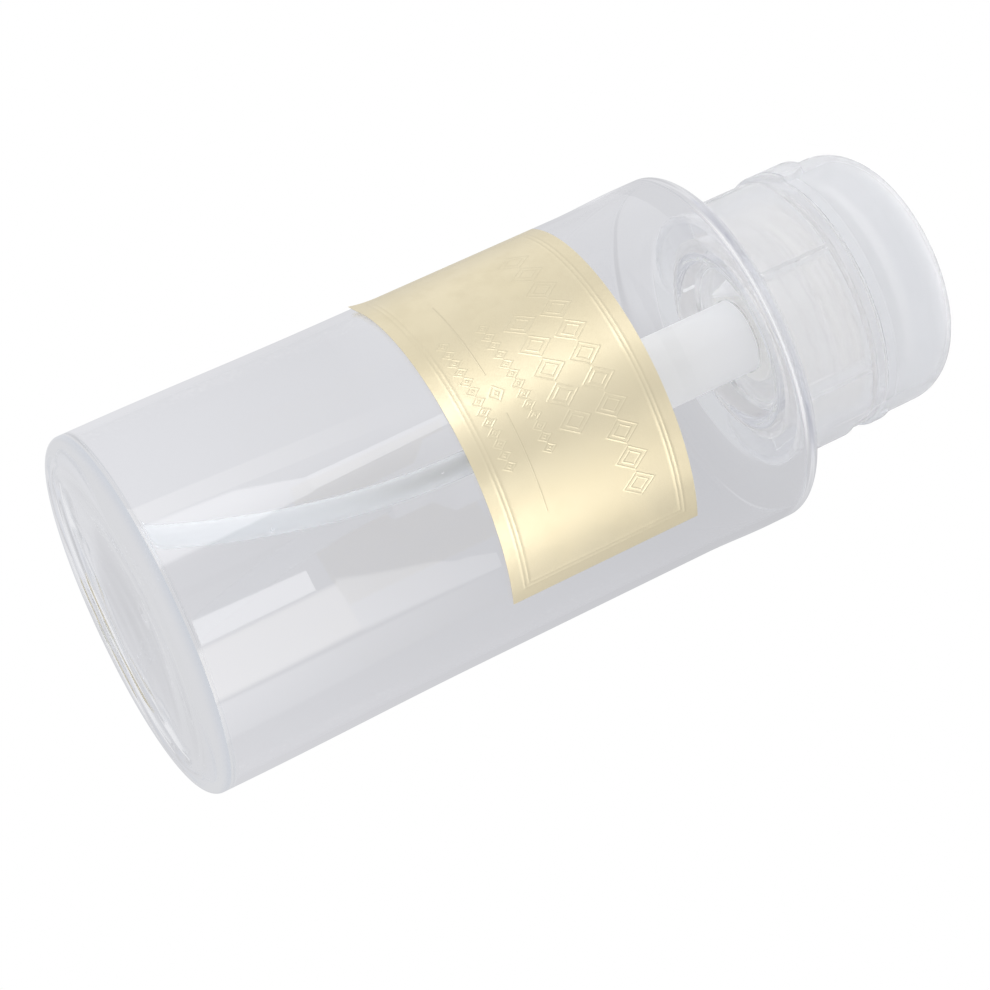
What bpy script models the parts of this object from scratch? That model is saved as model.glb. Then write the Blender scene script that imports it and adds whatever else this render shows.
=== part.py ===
"""Pump bottle for nail polish remover, about 14 cm tall and 6 cm across.

A clear bottle with a foil label carries a closure with a flip lid. Under the lid is a dish.
A cotton pad pressed on the dish pushes a sprung plunger down a white pump housing, which
draws liquid up a dip tube past two ball valves and lets it out through the dish's crown.

Z is up and the bottle's axis. The foot stands on z = 0. The lid's hinge is at -X and its
thumb lip at +X. All sizes are in metres and all angles in degrees.
"""

import math

import bmesh
import bpy
from mathutils import Matrix, Vector

# Clearances, and what every cutter and joint of two shapes runs past
FIT_GAP = 0.0003
OVERRUN = 0.0010
WELD = 0.000001

# Facets round the outer shells, the pieces inside them, the pump's parts and the smallest
SIDES_LARGE = 48
SIDES_INNER = 40
SIDES_MIDDLE = 32
SIDES_SMALL = 20

# Bottle
BODY_RADIUS = 0.0300
BODY_WALL = 0.0010
BASE_WALL = 0.0014
HEEL_WIDTH = 0.0039
HEEL_HEIGHT = 0.0023
FOOT_WIDTH = 0.0030
PUNT_DEPTH = 0.0030
GATE_MARK_RADIUS = 0.0016
GATE_MARK_DEPTH = 0.0005
PANEL_DEPTH = 0.0004
PANEL_LOW = 0.0460
PANEL_HIGH = 0.0900
PANEL_LOW_EASE = 0.0380
PANEL_HIGH_EASE = 0.0120
SHOULDER_START = 0.1057
SHOULDER_HEIGHT = 0.0034
SHOULDER_WIDTH = 0.0075
NECK_RADIUS = 0.0151
NECK_WALL = 0.0013
NECK_FILLET = 0.0008
NECK_HEIGHT = 0.0115
THREAD_DEPTH = 0.00135

# Label
LABEL_LOW = 0.0515
LABEL_HEIGHT = 0.0330
LABEL_LENGTH = 0.0662
LABEL_THICKNESS = 0.0001
LABEL_TURN = -105.6
LABEL_STEPS = 18

# Gasket and well insert
GASKET_THICKNESS = 0.0008
GASKET_WIDTH = 0.0018
WELL_FLANGE_THICKNESS = 0.0010
WELL_FLANGE_OVERHANG = 0.0006
WELL_SIDE_GAP = 0.0005
WELL_WALL = 0.0012
WELL_DEPTH = 0.0108
WELL_FLOOR = 0.0012
VENT_PITCH_RADIUS = 0.0108
VENT_TURN = -134.0
VENT_BOSS_RADIUS = 0.0022
VENT_BOSS_DROP = 0.0060
VENT_TIP_RADIUS = 0.0004

# Pump housing
HOUSING_RADIUS = 0.00625
HOUSING_WALL = 0.00085
HOUSING_FLANGE_WIDTH = 0.0021
HOUSING_FLANGE_THICKNESS = 0.0012
HOUSING_UPSTAND = 0.0030
HOUSING_BODY_LENGTH = 0.0400
HOUSING_CONE_LENGTH = 0.0032
CAGE_LIP = 0.0008
CAGE_NIB_BORE = 0.0011
CAGE_NIB_WIDTH = 0.0012
CAGE_SIDE_GAP = 0.0006
SEAT_BORE = 0.0010
SEAT_HEIGHT = 0.0013
SEAT_FLOOR = 0.0010
TAIL_WALL = 0.0011
TAIL_LENGTH = 0.0050

# Retaining ring
RING_PLATE = 0.0010
RING_WALL = 0.0009
RING_SPIGOT = 0.0040

# Plunger stem and piston
STEM_SHARE = 0.48
STEM_BORE = 0.0012
STEM_NECK_STEP = 0.0008
STEM_FOOT_OVERHANG = 0.0001
STEM_FOOT_THICKNESS = 0.0010
PISTON_LENGTH = 0.0050
PISTON_LIP = 0.0011
PISTON_WAIST_STEP = 0.0006

# Return spring
WIRE_RADIUS = 0.0004
SPRING_TURNS = 10
SPRING_TURN_POINTS = 9
SPRING_SIDE_GAP = 0.0006
LEAST_SPRING_GAP = 0.0004

# Balls of the two valves
BALL_RADIUS = 0.0015
LOWER_BALL_RISE = 0.0015
UPPER_BALL_RISE = 0.0006

# Dish and crown
PUMP_TRAVEL = 0.0060
DISH_WALL = 0.0011
DISH_RIM_HEIGHT = 0.0020
DISH_SIDE_GAP = 0.0025
DISH_RIM_CLEARANCE = 0.0008
DISH_BOWL_DEPTH = 0.0057
SOCKET_WALL = 0.0016
STEM_SETBACK = 0.0004
CROWN_WIDTH = 0.0020
CROWN_ROOF = 0.0010
CROWN_PLUG = 0.0004
CROWN_SLOT_WIDTH = 0.0012
CROWN_SLOT_HEIGHT = 0.0012

# Dip tube
TUBE_RADIUS = 0.0020
TUBE_BORE = 0.0014
TUBE_FOOT_GAP = 0.0016
TUBE_SWAY = 0.0112
TUBE_RINGS = 14
TUBE_SIDES = 10

# Collar
COLLAR_WALL = 0.0014
COLLAR_SIDE = 0.0027
SKIRT_WALL = 0.0014
SKIRT_RISE = 0.0006
DECK_THICKNESS = 0.0012
COLLAR_RIM_HEIGHT = 0.0012
COLLAR_RIM_CHAMFER = 0.0003
UPSTAND_WALL = 0.0007
UPSTAND_HEIGHT = 0.0022
RIB_COUNT = 6
RIB_TURN = -50.5
RIB_THICKNESS = 0.0008
RIB_FOOT_RISE = 0.0012
SCOOP_DEPTH = 0.00055
SCOOP_HEIGHT = 0.0052
SCOOP_FLOOR_WIDTH = 0.0145
SCOOP_RIM_WIDTH = 0.0250

# Lid and its hinge
LID_STEP = 0.00045
LID_WALL = 0.0011
LID_HEIGHT = 0.0155
LID_ROUND = 0.0067
LID_BAND_DEPTH = 0.00015
LID_BAND_HEIGHT = 0.0017
THUMB_LIP_DEPTH = 0.0005
THUMB_LIP_HEIGHT = 0.0015
THUMB_LIP_WIDTH = 0.0130
SEAL_WALL = 0.0010
HINGE_WIDTH = 0.0190
HINGE_HEIGHT = 0.0070
HINGE_PROUD = 0.0006
HINGE_END_STEPS = 6


def height_over_edge(bore):
    """Height of a ball's centre over the edge of a bore that it lies a fit's gap from."""
    return math.sqrt((BALL_RADIUS + FIT_GAP) ** 2 - bore ** 2)


def height_over_cone(bore, mouth, height):
    """Height of a ball's centre over the foot of a conical seat that it lies a fit's gap from."""
    width = mouth - bore
    slope = math.hypot(width, height)
    return ((BALL_RADIUS + FIT_GAP) * slope - bore * height) / width


# Heights and radii that follow from the sizes above, from the bottle up
FOOT_OUTER = BODY_RADIUS - HEEL_WIDTH
FOOT_INNER = FOOT_OUTER - FOOT_WIDTH
PANEL_RADIUS = BODY_RADIUS - PANEL_DEPTH
SHOULDER_TOP = SHOULDER_START + SHOULDER_HEIGHT
NECK_TOP = SHOULDER_TOP + NECK_HEIGHT
NECK_BORE = NECK_RADIUS - NECK_WALL
THREAD_RADIUS = NECK_RADIUS + THREAD_DEPTH

COLLAR_LOW = SHOULDER_TOP + FIT_GAP
SKIRT_BORE = THREAD_RADIUS + FIT_GAP
SKIRT_RADIUS = SKIRT_BORE + SKIRT_WALL
COLLAR_BORE = SKIRT_RADIUS + COLLAR_SIDE
COLLAR_RADIUS = COLLAR_BORE + COLLAR_WALL

GASKET_LOW = NECK_TOP + FIT_GAP
GASKET_TOP = GASKET_LOW + GASKET_THICKNESS
FLANGE_LOW = GASKET_TOP + FIT_GAP
FLANGE_TOP = FLANGE_LOW + WELL_FLANGE_THICKNESS
WELL_RADIUS = NECK_BORE - WELL_SIDE_GAP
WELL_BORE = WELL_RADIUS - WELL_WALL
WELL_FLOOR_LOW = FLANGE_LOW - WELL_DEPTH
WELL_FLOOR_TOP = WELL_FLOOR_LOW + WELL_FLOOR

DECK_LOW = FLANGE_TOP + FIT_GAP
DECK_TOP = DECK_LOW + DECK_THICKNESS
COLLAR_RIM = DECK_TOP + COLLAR_RIM_HEIGHT
LID_LOW = COLLAR_RIM + FIT_GAP
LID_TOP = LID_LOW + LID_HEIGHT
LID_RADIUS = COLLAR_RADIUS - LID_STEP
LID_BORE = LID_RADIUS - LID_WALL
HINGE_HEIGHT_MID = (COLLAR_RIM + LID_LOW) / 2
HINGE_RADIUS = COLLAR_RADIUS + HINGE_PROUD

HOUSING_BORE = HOUSING_RADIUS - HOUSING_WALL
STEM_RADIUS = HOUSING_RADIUS * STEM_SHARE
SPRING_RADIUS = HOUSING_BORE - SPRING_SIDE_GAP - WIRE_RADIUS
HOUSING_FLANGE_LOW = WELL_FLOOR_TOP + FIT_GAP
HOUSING_FLANGE_TOP = HOUSING_FLANGE_LOW + HOUSING_FLANGE_THICKNESS
HOUSING_TOP = HOUSING_FLANGE_TOP + HOUSING_UPSTAND
CAGE_TOP = HOUSING_FLANGE_LOW - HOUSING_BODY_LENGTH
CAGE_BORE = BALL_RADIUS + CAGE_SIDE_GAP
CAGE_ROOF = CAGE_TOP - CAGE_LIP
LOWER_BALL_HEIGHT = CAGE_ROOF - FIT_GAP - LOWER_BALL_RISE - BALL_RADIUS
SEAT_LOW = LOWER_BALL_HEIGHT - height_over_cone(SEAT_BORE, CAGE_BORE, SEAT_HEIGHT)
SEAT_MOUTH = SEAT_LOW + SEAT_HEIGHT
SOCKET_TOP = SEAT_LOW - SEAT_FLOOR
TAIL_BORE = TUBE_RADIUS + FIT_GAP
TAIL_RADIUS = TAIL_BORE + TAIL_WALL
TAIL_LOW = SOCKET_TOP - TAIL_LENGTH

RING_PLATE_LOW = HOUSING_TOP + FIT_GAP
RING_TOP = RING_PLATE_LOW + RING_PLATE
RING_BORE = STEM_RADIUS + FIT_GAP
RING_SPIGOT_LOW = RING_PLATE_LOW - RING_SPIGOT

PISTON_TOP = RING_SPIGOT_LOW - FIT_GAP
PISTON_LOW = PISTON_TOP - PISTON_LENGTH
PISTON_RADIUS = HOUSING_BORE - FIT_GAP
STEM_NECK_RADIUS = STEM_RADIUS - STEM_NECK_STEP
STEM_SHOULDER = PISTON_TOP + FIT_GAP
STEM_FOOT_TOP = PISTON_LOW - FIT_GAP
STEM_FOOT_LOW = STEM_FOOT_TOP - STEM_FOOT_THICKNESS
STEM_FOOT_RADIUS = SPRING_RADIUS + STEM_FOOT_OVERHANG

SPRING_LOW = CAGE_TOP + FIT_GAP + WIRE_RADIUS
SPRING_TOP = STEM_FOOT_LOW - FIT_GAP - WIRE_RADIUS

DISH_RADIUS = LID_BORE - DISH_SIDE_GAP
DISH_RIM_LOW = DECK_TOP + DISH_RIM_CLEARANCE + PUMP_TRAVEL
DISH_RIM = DISH_RIM_LOW + DISH_RIM_HEIGHT
DISH_FLOOR = DISH_RIM - DISH_BOWL_DEPTH
BOWL_RADIUS = WELL_BORE - WELL_SIDE_GAP
SOCKET_BORE = STEM_RADIUS + FIT_GAP
SOCKET_RADIUS = SOCKET_BORE + SOCKET_WALL
SOCKET_LOW = RING_TOP + FIT_GAP + PUMP_TRAVEL
STEM_TOP = DISH_FLOOR - STEM_SETBACK
CROWN_LOW = DISH_FLOOR + FIT_GAP
UPPER_BALL_HEIGHT = STEM_TOP + height_over_edge(STEM_BORE)
CROWN_RADIUS = STEM_RADIUS + CROWN_WIDTH
CROWN_BORE = BALL_RADIUS + CAGE_SIDE_GAP
CROWN_CEILING = UPPER_BALL_HEIGHT + BALL_RADIUS + UPPER_BALL_RISE + FIT_GAP
CROWN_TOP = CROWN_CEILING + CROWN_ROOF

TUBE_TOP = SOCKET_TOP - FIT_GAP
TUBE_FOOT = PUNT_DEPTH + BASE_WALL + TUBE_FOOT_GAP


def ellipse(centre, radii, start, end, steps):
    """Points of an elliptical arc in (radius, height), from one angle to another."""
    points = []
    for i in range(steps + 1):
        turn = math.radians(start + (end - start) * i / steps)
        points.append((centre[0] + radii[0] * math.cos(turn), centre[1] + radii[1] * math.sin(turn)))
    return points


def made(name, mesh):
    """Object with the geometry of a bmesh, which is closed and faces outward."""
    bmesh.ops.remove_doubles(mesh, verts=mesh.verts, dist=WELD)
    bmesh.ops.recalc_face_normals(mesh, faces=mesh.faces)
    data = bpy.data.meshes.new(name)
    mesh.to_mesh(data)
    mesh.free()
    data.shade_smooth()
    data.set_sharp_from_angle(angle=math.radians(35))
    thing = bpy.data.objects.new(name, data)
    bpy.context.scene.collection.objects.link(thing)
    return thing


def turned(name, outline, sides):
    """Solid turned about Z from an outline of (radius, height) points.

    An outline that starts and ends on the axis needs no closing edge.
    """
    mesh = bmesh.new()
    verts = [mesh.verts.new((radius, 0, height)) for radius, height in outline]
    pairs = list(zip(verts, verts[1:]))
    if outline[0][0] > 0:
        pairs.append((verts[-1], verts[0]))
    edges = [mesh.edges.new(pair) for pair in pairs]
    bmesh.ops.spin(mesh, geom=verts + edges, cent=(0, 0, 0), axis=(0, 0, 1),
                   angle=math.tau, steps=sides, use_merge=True)
    return made(name, mesh)


def swept(name, outline, middle, spread, steps):
    """Solid swept part of the way round Z from a closed outline, capped at both ends."""
    mesh = bmesh.new()
    start = Matrix.Rotation(math.radians(middle - spread / 2), 3, 'Z')
    verts = [mesh.verts.new(start @ Vector((radius, 0, height))) for radius, height in outline]
    face = mesh.faces.new(verts)
    bmesh.ops.spin(mesh, geom=[face], cent=(0, 0, 0), axis=(0, 0, 1),
                   angle=math.radians(spread), steps=steps)
    return made(name, mesh)


def prism(name, outline, low, high):
    """Solid extruded along X from a closed outline of (y, z) points."""
    mesh = bmesh.new()
    face = mesh.faces.new([mesh.verts.new((low, y, z)) for y, z in outline])
    grown = bmesh.ops.extrude_face_region(mesh, geom=[face])['geom']
    moved = [item for item in grown if isinstance(item, bmesh.types.BMVert)]
    bmesh.ops.translate(mesh, verts=moved, vec=(high - low, 0, 0))
    return made(name, mesh)


def add_block(mesh, low, high, turn):
    """Add a box between two corners, turned about Z by an angle."""
    size = [b - a for a, b in zip(low, high)]
    middle = [(a + b) / 2 for a, b in zip(low, high)]
    place = Matrix.Rotation(math.radians(turn), 4, 'Z') @ Matrix.Translation(middle)
    bmesh.ops.create_cube(mesh, size=1, matrix=place @ Matrix.Diagonal((*size, 1)))


def blocks(name, low, high, turns):
    """Object of equal boxes set round Z, one at each turn."""
    mesh = bmesh.new()
    for turn in turns:
        add_block(mesh, low, high, turn)
    return made(name, mesh)


def combine(thing, tool, operation):
    """Cut a solid by a tool, or join or limit it to the tool, which is then only a guide."""
    step = thing.modifiers.new(tool.name, 'BOOLEAN')
    step.operation = operation
    step.object = tool
    step.solver = 'EXACT'
    tool.hide_render = True
    tool.display_type = 'WIRE'


def finish(thing, colour, roughness, metallic=0.0, clear=0.0):
    """Give a piece its own surface. Clear is the share of light that passes through."""
    surface = bpy.data.materials.new(thing.name)
    surface.use_nodes = True
    shader = surface.node_tree.nodes['Principled BSDF']
    shader.inputs['Base Color'].default_value = (*colour, 1)
    shader.inputs['Roughness'].default_value = roughness
    shader.inputs['Metallic'].default_value = metallic
    shader.inputs['Transmission Weight'].default_value = clear
    thing.data.materials.append(surface)


def pivot(name, place, parent=None):
    """Empty on the axis of a joint, which carries the pieces that move together."""
    mark = bpy.data.objects.new(name, None)
    mark.empty_display_size = FOOT_WIDTH
    mark.location = place
    bpy.context.scene.collection.objects.link(mark)
    bpy.context.view_layer.update()
    if parent:
        carry(parent, [mark])
    return mark


def carry(parent, things):
    """Parent things to a pivot and keep them where they are."""
    for thing in things:
        thing.parent = parent
        thing.matrix_parent_inverse = parent.matrix_world.inverted()
    bpy.context.view_layer.update()


def make_bottle():
    """Blown bottle with a punt, a slightly sunk label panel and a bored neck."""
    low_ease = PANEL_LOW - PANEL_LOW_EASE
    high_ease = PANEL_HIGH + PANEL_HIGH_EASE
    neck_edge = NECK_RADIUS + NECK_FILLET
    heel_centre = (FOOT_OUTER, HEEL_HEIGHT)
    shoulder_centre = (BODY_RADIUS - SHOULDER_WIDTH, SHOULDER_START)
    mid_punt_share = 0.55
    outline = [(0, PUNT_DEPTH - GATE_MARK_DEPTH),
               (GATE_MARK_RADIUS, PUNT_DEPTH - GATE_MARK_DEPTH),
               (GATE_MARK_RADIUS, PUNT_DEPTH)]
    outline += ellipse((0, 0), (FOOT_INNER, PUNT_DEPTH), 72, 0, 4)
    outline += ellipse(heel_centre, (HEEL_WIDTH, HEEL_HEIGHT), -90, 0, 4)
    outline += [(BODY_RADIUS, low_ease), (PANEL_RADIUS, PANEL_LOW),
                (PANEL_RADIUS, PANEL_HIGH), (BODY_RADIUS, high_ease)]
    outline += ellipse(shoulder_centre, (SHOULDER_WIDTH, SHOULDER_HEIGHT), 0, 90, 6)
    outline += ellipse((neck_edge, SHOULDER_TOP + NECK_FILLET), (NECK_FILLET, NECK_FILLET), 270, 180, 2)
    outline += [(NECK_RADIUS, NECK_TOP), (NECK_BORE, NECK_TOP), (NECK_BORE, SHOULDER_TOP)]
    inner_shoulder = (SHOULDER_WIDTH, SHOULDER_HEIGHT)
    inner_centre = (shoulder_centre[0] - BODY_WALL, shoulder_centre[1] - BODY_WALL)
    outline += ellipse(inner_centre, inner_shoulder, 90, 0, 4)
    outline += [(PANEL_RADIUS - BODY_WALL, PANEL_HIGH), (PANEL_RADIUS - BODY_WALL, PANEL_LOW)]
    outline += ellipse((FOOT_OUTER - BODY_WALL, HEEL_HEIGHT + BASE_WALL),
                       (HEEL_WIDTH, HEEL_HEIGHT), 0, -90, 3)
    outline += [(FOOT_INNER * mid_punt_share, PUNT_DEPTH * (1 - mid_punt_share) + BASE_WALL),
                (0, PUNT_DEPTH + BASE_WALL)]
    bottle = turned("bottle", outline, SIDES_LARGE)
    finish(bottle, (0.86, 0.88, 0.90), 0.04, clear=1.0)
    return bottle


def make_label():
    """Foil label round part of the sunk panel."""
    inner = PANEL_RADIUS + FIT_GAP
    outer = inner + LABEL_THICKNESS
    top = LABEL_LOW + LABEL_HEIGHT
    outline = [(inner, LABEL_LOW), (outer, LABEL_LOW), (outer, top), (inner, top)]
    label = swept("label", outline, LABEL_TURN, math.degrees(LABEL_LENGTH / inner), LABEL_STEPS)
    finish(label, (0.82, 0.71, 0.45), 0.30, metallic=1.0)
    return label


def make_gasket():
    """Foam ring that seals the well's flange on the neck."""
    inner = (NECK_BORE + NECK_RADIUS - GASKET_WIDTH) / 2
    outer = inner + GASKET_WIDTH
    outline = [(inner, GASKET_LOW), (outer, GASKET_LOW), (outer, GASKET_TOP), (inner, GASKET_TOP)]
    gasket = turned("neck_gasket", outline, SIDES_INNER)
    finish(gasket, (0.90, 0.90, 0.88), 0.80)
    return gasket


def make_well():
    """Cup that hangs in the neck by its flange and holds the pump in its floor."""
    flange = NECK_RADIUS + WELL_FLANGE_OVERHANG
    hole = HOUSING_RADIUS + FIT_GAP
    outline = [(hole, WELL_FLOOR_LOW), (WELL_RADIUS, WELL_FLOOR_LOW), (WELL_RADIUS, FLANGE_LOW),
               (flange, FLANGE_LOW), (flange, FLANGE_TOP), (WELL_BORE, FLANGE_TOP),
               (WELL_BORE, WELL_FLOOR_TOP), (hole, WELL_FLOOR_TOP)]
    well = turned("well_insert", outline, SIDES_INNER)
    drop = [(0, -VENT_BOSS_DROP), (VENT_TIP_RADIUS, -VENT_BOSS_DROP)]
    drop += ellipse((0, 0), (VENT_BOSS_RADIUS, VENT_BOSS_RADIUS), -30, 90, 6)
    drop[-1] = (0, VENT_BOSS_RADIUS)
    boss = turned("vent_boss_guide", drop, SIDES_SMALL)
    turn = math.radians(VENT_TURN)
    boss.location = (VENT_PITCH_RADIUS * math.cos(turn), VENT_PITCH_RADIUS * math.sin(turn),
                     (WELL_FLOOR_LOW + WELL_FLOOR_TOP) / 2)
    combine(well, boss, 'UNION')
    finish(well, (0.85, 0.87, 0.88), 0.35, clear=0.6)
    return well


def make_housing():
    """White pump barrel: flange, bore, caged seat for the lower ball, socket for the tube."""
    flange = HOUSING_RADIUS + HOUSING_FLANGE_WIDTH
    cone_low = CAGE_ROOF - HOUSING_CONE_LENGTH
    outline = [(HOUSING_BORE, HOUSING_TOP), (HOUSING_BORE, CAGE_TOP), (CAGE_NIB_BORE, CAGE_TOP),
               (CAGE_NIB_BORE, CAGE_ROOF), (CAGE_BORE, CAGE_ROOF), (CAGE_BORE, SEAT_MOUTH),
               (SEAT_BORE, SEAT_LOW), (SEAT_BORE, SOCKET_TOP), (TAIL_BORE, SOCKET_TOP),
               (TAIL_BORE, TAIL_LOW), (TAIL_RADIUS, TAIL_LOW), (TAIL_RADIUS, cone_low),
               (HOUSING_RADIUS, CAGE_ROOF), (HOUSING_RADIUS, HOUSING_FLANGE_LOW),
               (flange, HOUSING_FLANGE_LOW), (flange, HOUSING_FLANGE_TOP),
               (HOUSING_RADIUS, HOUSING_FLANGE_TOP), (HOUSING_RADIUS, HOUSING_TOP)]
    housing = turned("pump_housing", outline, SIDES_MIDDLE)
    nibs = blocks("cage_slot_cutter", (0, -CAGE_NIB_WIDTH / 2, CAGE_ROOF - FIT_GAP),
                  (CAGE_BORE, CAGE_NIB_WIDTH / 2, CAGE_TOP + OVERRUN), [30, 150, 270])
    combine(housing, nibs, 'DIFFERENCE')
    finish(housing, (0.90, 0.90, 0.89), 0.40)
    return housing


def make_ring():
    """Cap snapped on the housing, which guides the stem and stops the piston."""
    skirt_bore = HOUSING_RADIUS + FIT_GAP
    skirt = skirt_bore + RING_WALL
    skirt_low = HOUSING_FLANGE_TOP + FIT_GAP
    spigot = HOUSING_BORE - FIT_GAP
    outline = [(RING_BORE, RING_TOP), (RING_BORE, RING_SPIGOT_LOW), (spigot, RING_SPIGOT_LOW),
               (spigot, RING_PLATE_LOW), (skirt_bore, RING_PLATE_LOW), (skirt_bore, skirt_low),
               (skirt, skirt_low), (skirt, RING_TOP)]
    ring = turned("retaining_ring", outline, SIDES_MIDDLE)
    finish(ring, (0.92, 0.92, 0.91), 0.35)
    return ring


def make_stem():
    """Hollow rod between the dish and the piston, with a foot that the spring lifts."""
    outline = [(STEM_BORE, STEM_TOP), (STEM_BORE, STEM_FOOT_LOW), (STEM_FOOT_RADIUS, STEM_FOOT_LOW),
               (STEM_FOOT_RADIUS, STEM_FOOT_TOP), (STEM_NECK_RADIUS, STEM_FOOT_TOP),
               (STEM_NECK_RADIUS, STEM_SHOULDER), (STEM_RADIUS, STEM_SHOULDER),
               (STEM_RADIUS, STEM_TOP)]
    stem = turned("plunger_stem", outline, SIDES_SMALL)
    finish(stem, (0.91, 0.91, 0.90), 0.35)
    return stem


def make_piston():
    """Soft piston with a sealing lip at each end and a narrower waist."""
    bore = STEM_NECK_RADIUS + FIT_GAP
    waist = PISTON_RADIUS - PISTON_WAIST_STEP
    outline = [(bore, PISTON_TOP), (bore, PISTON_LOW), (PISTON_RADIUS, PISTON_LOW),
               (PISTON_RADIUS, PISTON_LOW + PISTON_LIP),
               (waist, PISTON_LOW + PISTON_LIP + PISTON_WAIST_STEP),
               (waist, PISTON_TOP - PISTON_LIP - PISTON_WAIST_STEP),
               (PISTON_RADIUS, PISTON_TOP - PISTON_LIP), (PISTON_RADIUS, PISTON_TOP)]
    piston = turned("piston", outline, SIDES_MIDDLE)
    finish(piston, (0.88, 0.90, 0.92), 0.45)
    return piston


def make_spring():
    """Return spring wound as one helix between the cage's lip and the stem's foot."""
    count = SPRING_TURNS * SPRING_TURN_POINTS
    points = []
    for i in range(count + 1):
        turn = math.tau * i / SPRING_TURN_POINTS
        height = SPRING_LOW + (SPRING_TOP - SPRING_LOW) * i / count
        points.append(Vector((SPRING_RADIUS * math.cos(turn), SPRING_RADIUS * math.sin(turn), height)))
    gap = min((points[i + SPRING_TURN_POINTS] - points[i]).length
              for i in range(count + 1 - SPRING_TURN_POINTS)) - 2 * WIRE_RADIUS
    print("spring: least gap between turns %.2f mm, wanted %.2f" % (gap * 1000, LEAST_SPRING_GAP * 1000))
    curve = bpy.data.curves.new("return_spring", 'CURVE')
    curve.dimensions = '3D'
    curve.bevel_depth = WIRE_RADIUS
    curve.bevel_resolution = 1
    curve.use_fill_caps = True
    line = curve.splines.new('POLY')
    line.points.add(count)
    for knot, point in zip(line.points, points):
        knot.co = (*point, 1)
    line.use_smooth = True
    spring = bpy.data.objects.new("return_spring", curve)
    bpy.context.scene.collection.objects.link(spring)
    finish(spring, (0.62, 0.63, 0.64), 0.25, metallic=1.0)
    return spring


def make_ball(name, height):
    """Valve ball, resting just over its seat."""
    outline = ellipse((0, 0), (BALL_RADIUS, BALL_RADIUS), -90, 90, 8)
    outline[0] = (0, -BALL_RADIUS)
    outline[-1] = (0, BALL_RADIUS)
    ball = turned(name, outline, SIDES_SMALL - 4)
    ball.location = (0, 0, height)
    finish(ball, (0.80, 0.84, 0.86), 0.05, clear=0.9)
    return ball


def make_dish():
    """Dish that the cotton pad presses: broad rim, bowl, and a socket for the stem below."""
    rim_inner = DISH_RADIUS - DISH_WALL
    bowl_inner = BOWL_RADIUS - DISH_WALL
    brim_height = DISH_RIM_LOW + DISH_WALL
    under_floor = DISH_FLOOR - DISH_WALL
    depth = brim_height - DISH_FLOOR
    under_depth = DISH_RIM_LOW - under_floor
    outline = [(SOCKET_BORE, DISH_FLOOR)]
    outline += ellipse((CROWN_RADIUS + FIT_GAP, DISH_FLOOR + depth),
                       (bowl_inner - CROWN_RADIUS - FIT_GAP, depth), 270, 350, 5)
    outline += [(bowl_inner + DISH_WALL / 2, brim_height + DISH_WALL / 4),
                (rim_inner - DISH_WALL, brim_height + DISH_WALL / 2),
                (rim_inner, DISH_RIM - DISH_WALL / 4),
                (rim_inner + DISH_WALL / 4, DISH_RIM), (DISH_RADIUS - DISH_WALL / 4, DISH_RIM),
                (DISH_RADIUS, DISH_RIM - DISH_WALL / 4), (DISH_RADIUS, DISH_RIM_LOW)]
    outline += ellipse((SOCKET_RADIUS, DISH_RIM_LOW),
                       (BOWL_RADIUS - SOCKET_RADIUS, under_depth), 0, -90, 4)
    outline += [(SOCKET_RADIUS, SOCKET_LOW), (SOCKET_BORE, SOCKET_LOW)]
    dish = turned("dish", outline, SIDES_INNER)
    finish(dish, (0.90, 0.91, 0.91), 0.35)
    return dish


def make_crown():
    """Slotted cap over the upper ball, where the liquid comes out into the dish."""
    shoulder = CROWN_RADIUS - CROWN_WIDTH / 2
    outline = [(0, CROWN_TOP), (0, CROWN_CEILING), (CROWN_BORE, CROWN_CEILING),
               (CROWN_BORE, CROWN_LOW - CROWN_PLUG), (STEM_RADIUS, CROWN_LOW - CROWN_PLUG),
               (STEM_RADIUS, CROWN_LOW), (CROWN_RADIUS, CROWN_LOW)]
    outline += ellipse((shoulder, CROWN_TOP - CROWN_ROOF * 2),
                       (CROWN_RADIUS - shoulder, CROWN_ROOF * 2), 0, 90, 4)
    crown = turned("outlet_crown", outline[1:] + outline[:1], SIDES_SMALL)
    reach = CROWN_RADIUS + OVERRUN
    slots = blocks("crown_slot_cutter",
                   (-reach, -CROWN_SLOT_WIDTH / 2, CROWN_CEILING - CROWN_SLOT_HEIGHT),
                   (reach, CROWN_SLOT_WIDTH / 2, CROWN_CEILING - FIT_GAP / 2), [45])
    cross = blocks("crown_cross_cutter",
                   (-reach, -CROWN_SLOT_WIDTH / 2, CROWN_CEILING - CROWN_SLOT_HEIGHT),
                   (reach, CROWN_SLOT_WIDTH / 2, CROWN_CEILING - FIT_GAP / 2), [135])
    combine(crown, slots, 'DIFFERENCE')
    combine(crown, cross, 'DIFFERENCE')
    finish(crown, (0.90, 0.91, 0.91), 0.35)
    return crown


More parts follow.
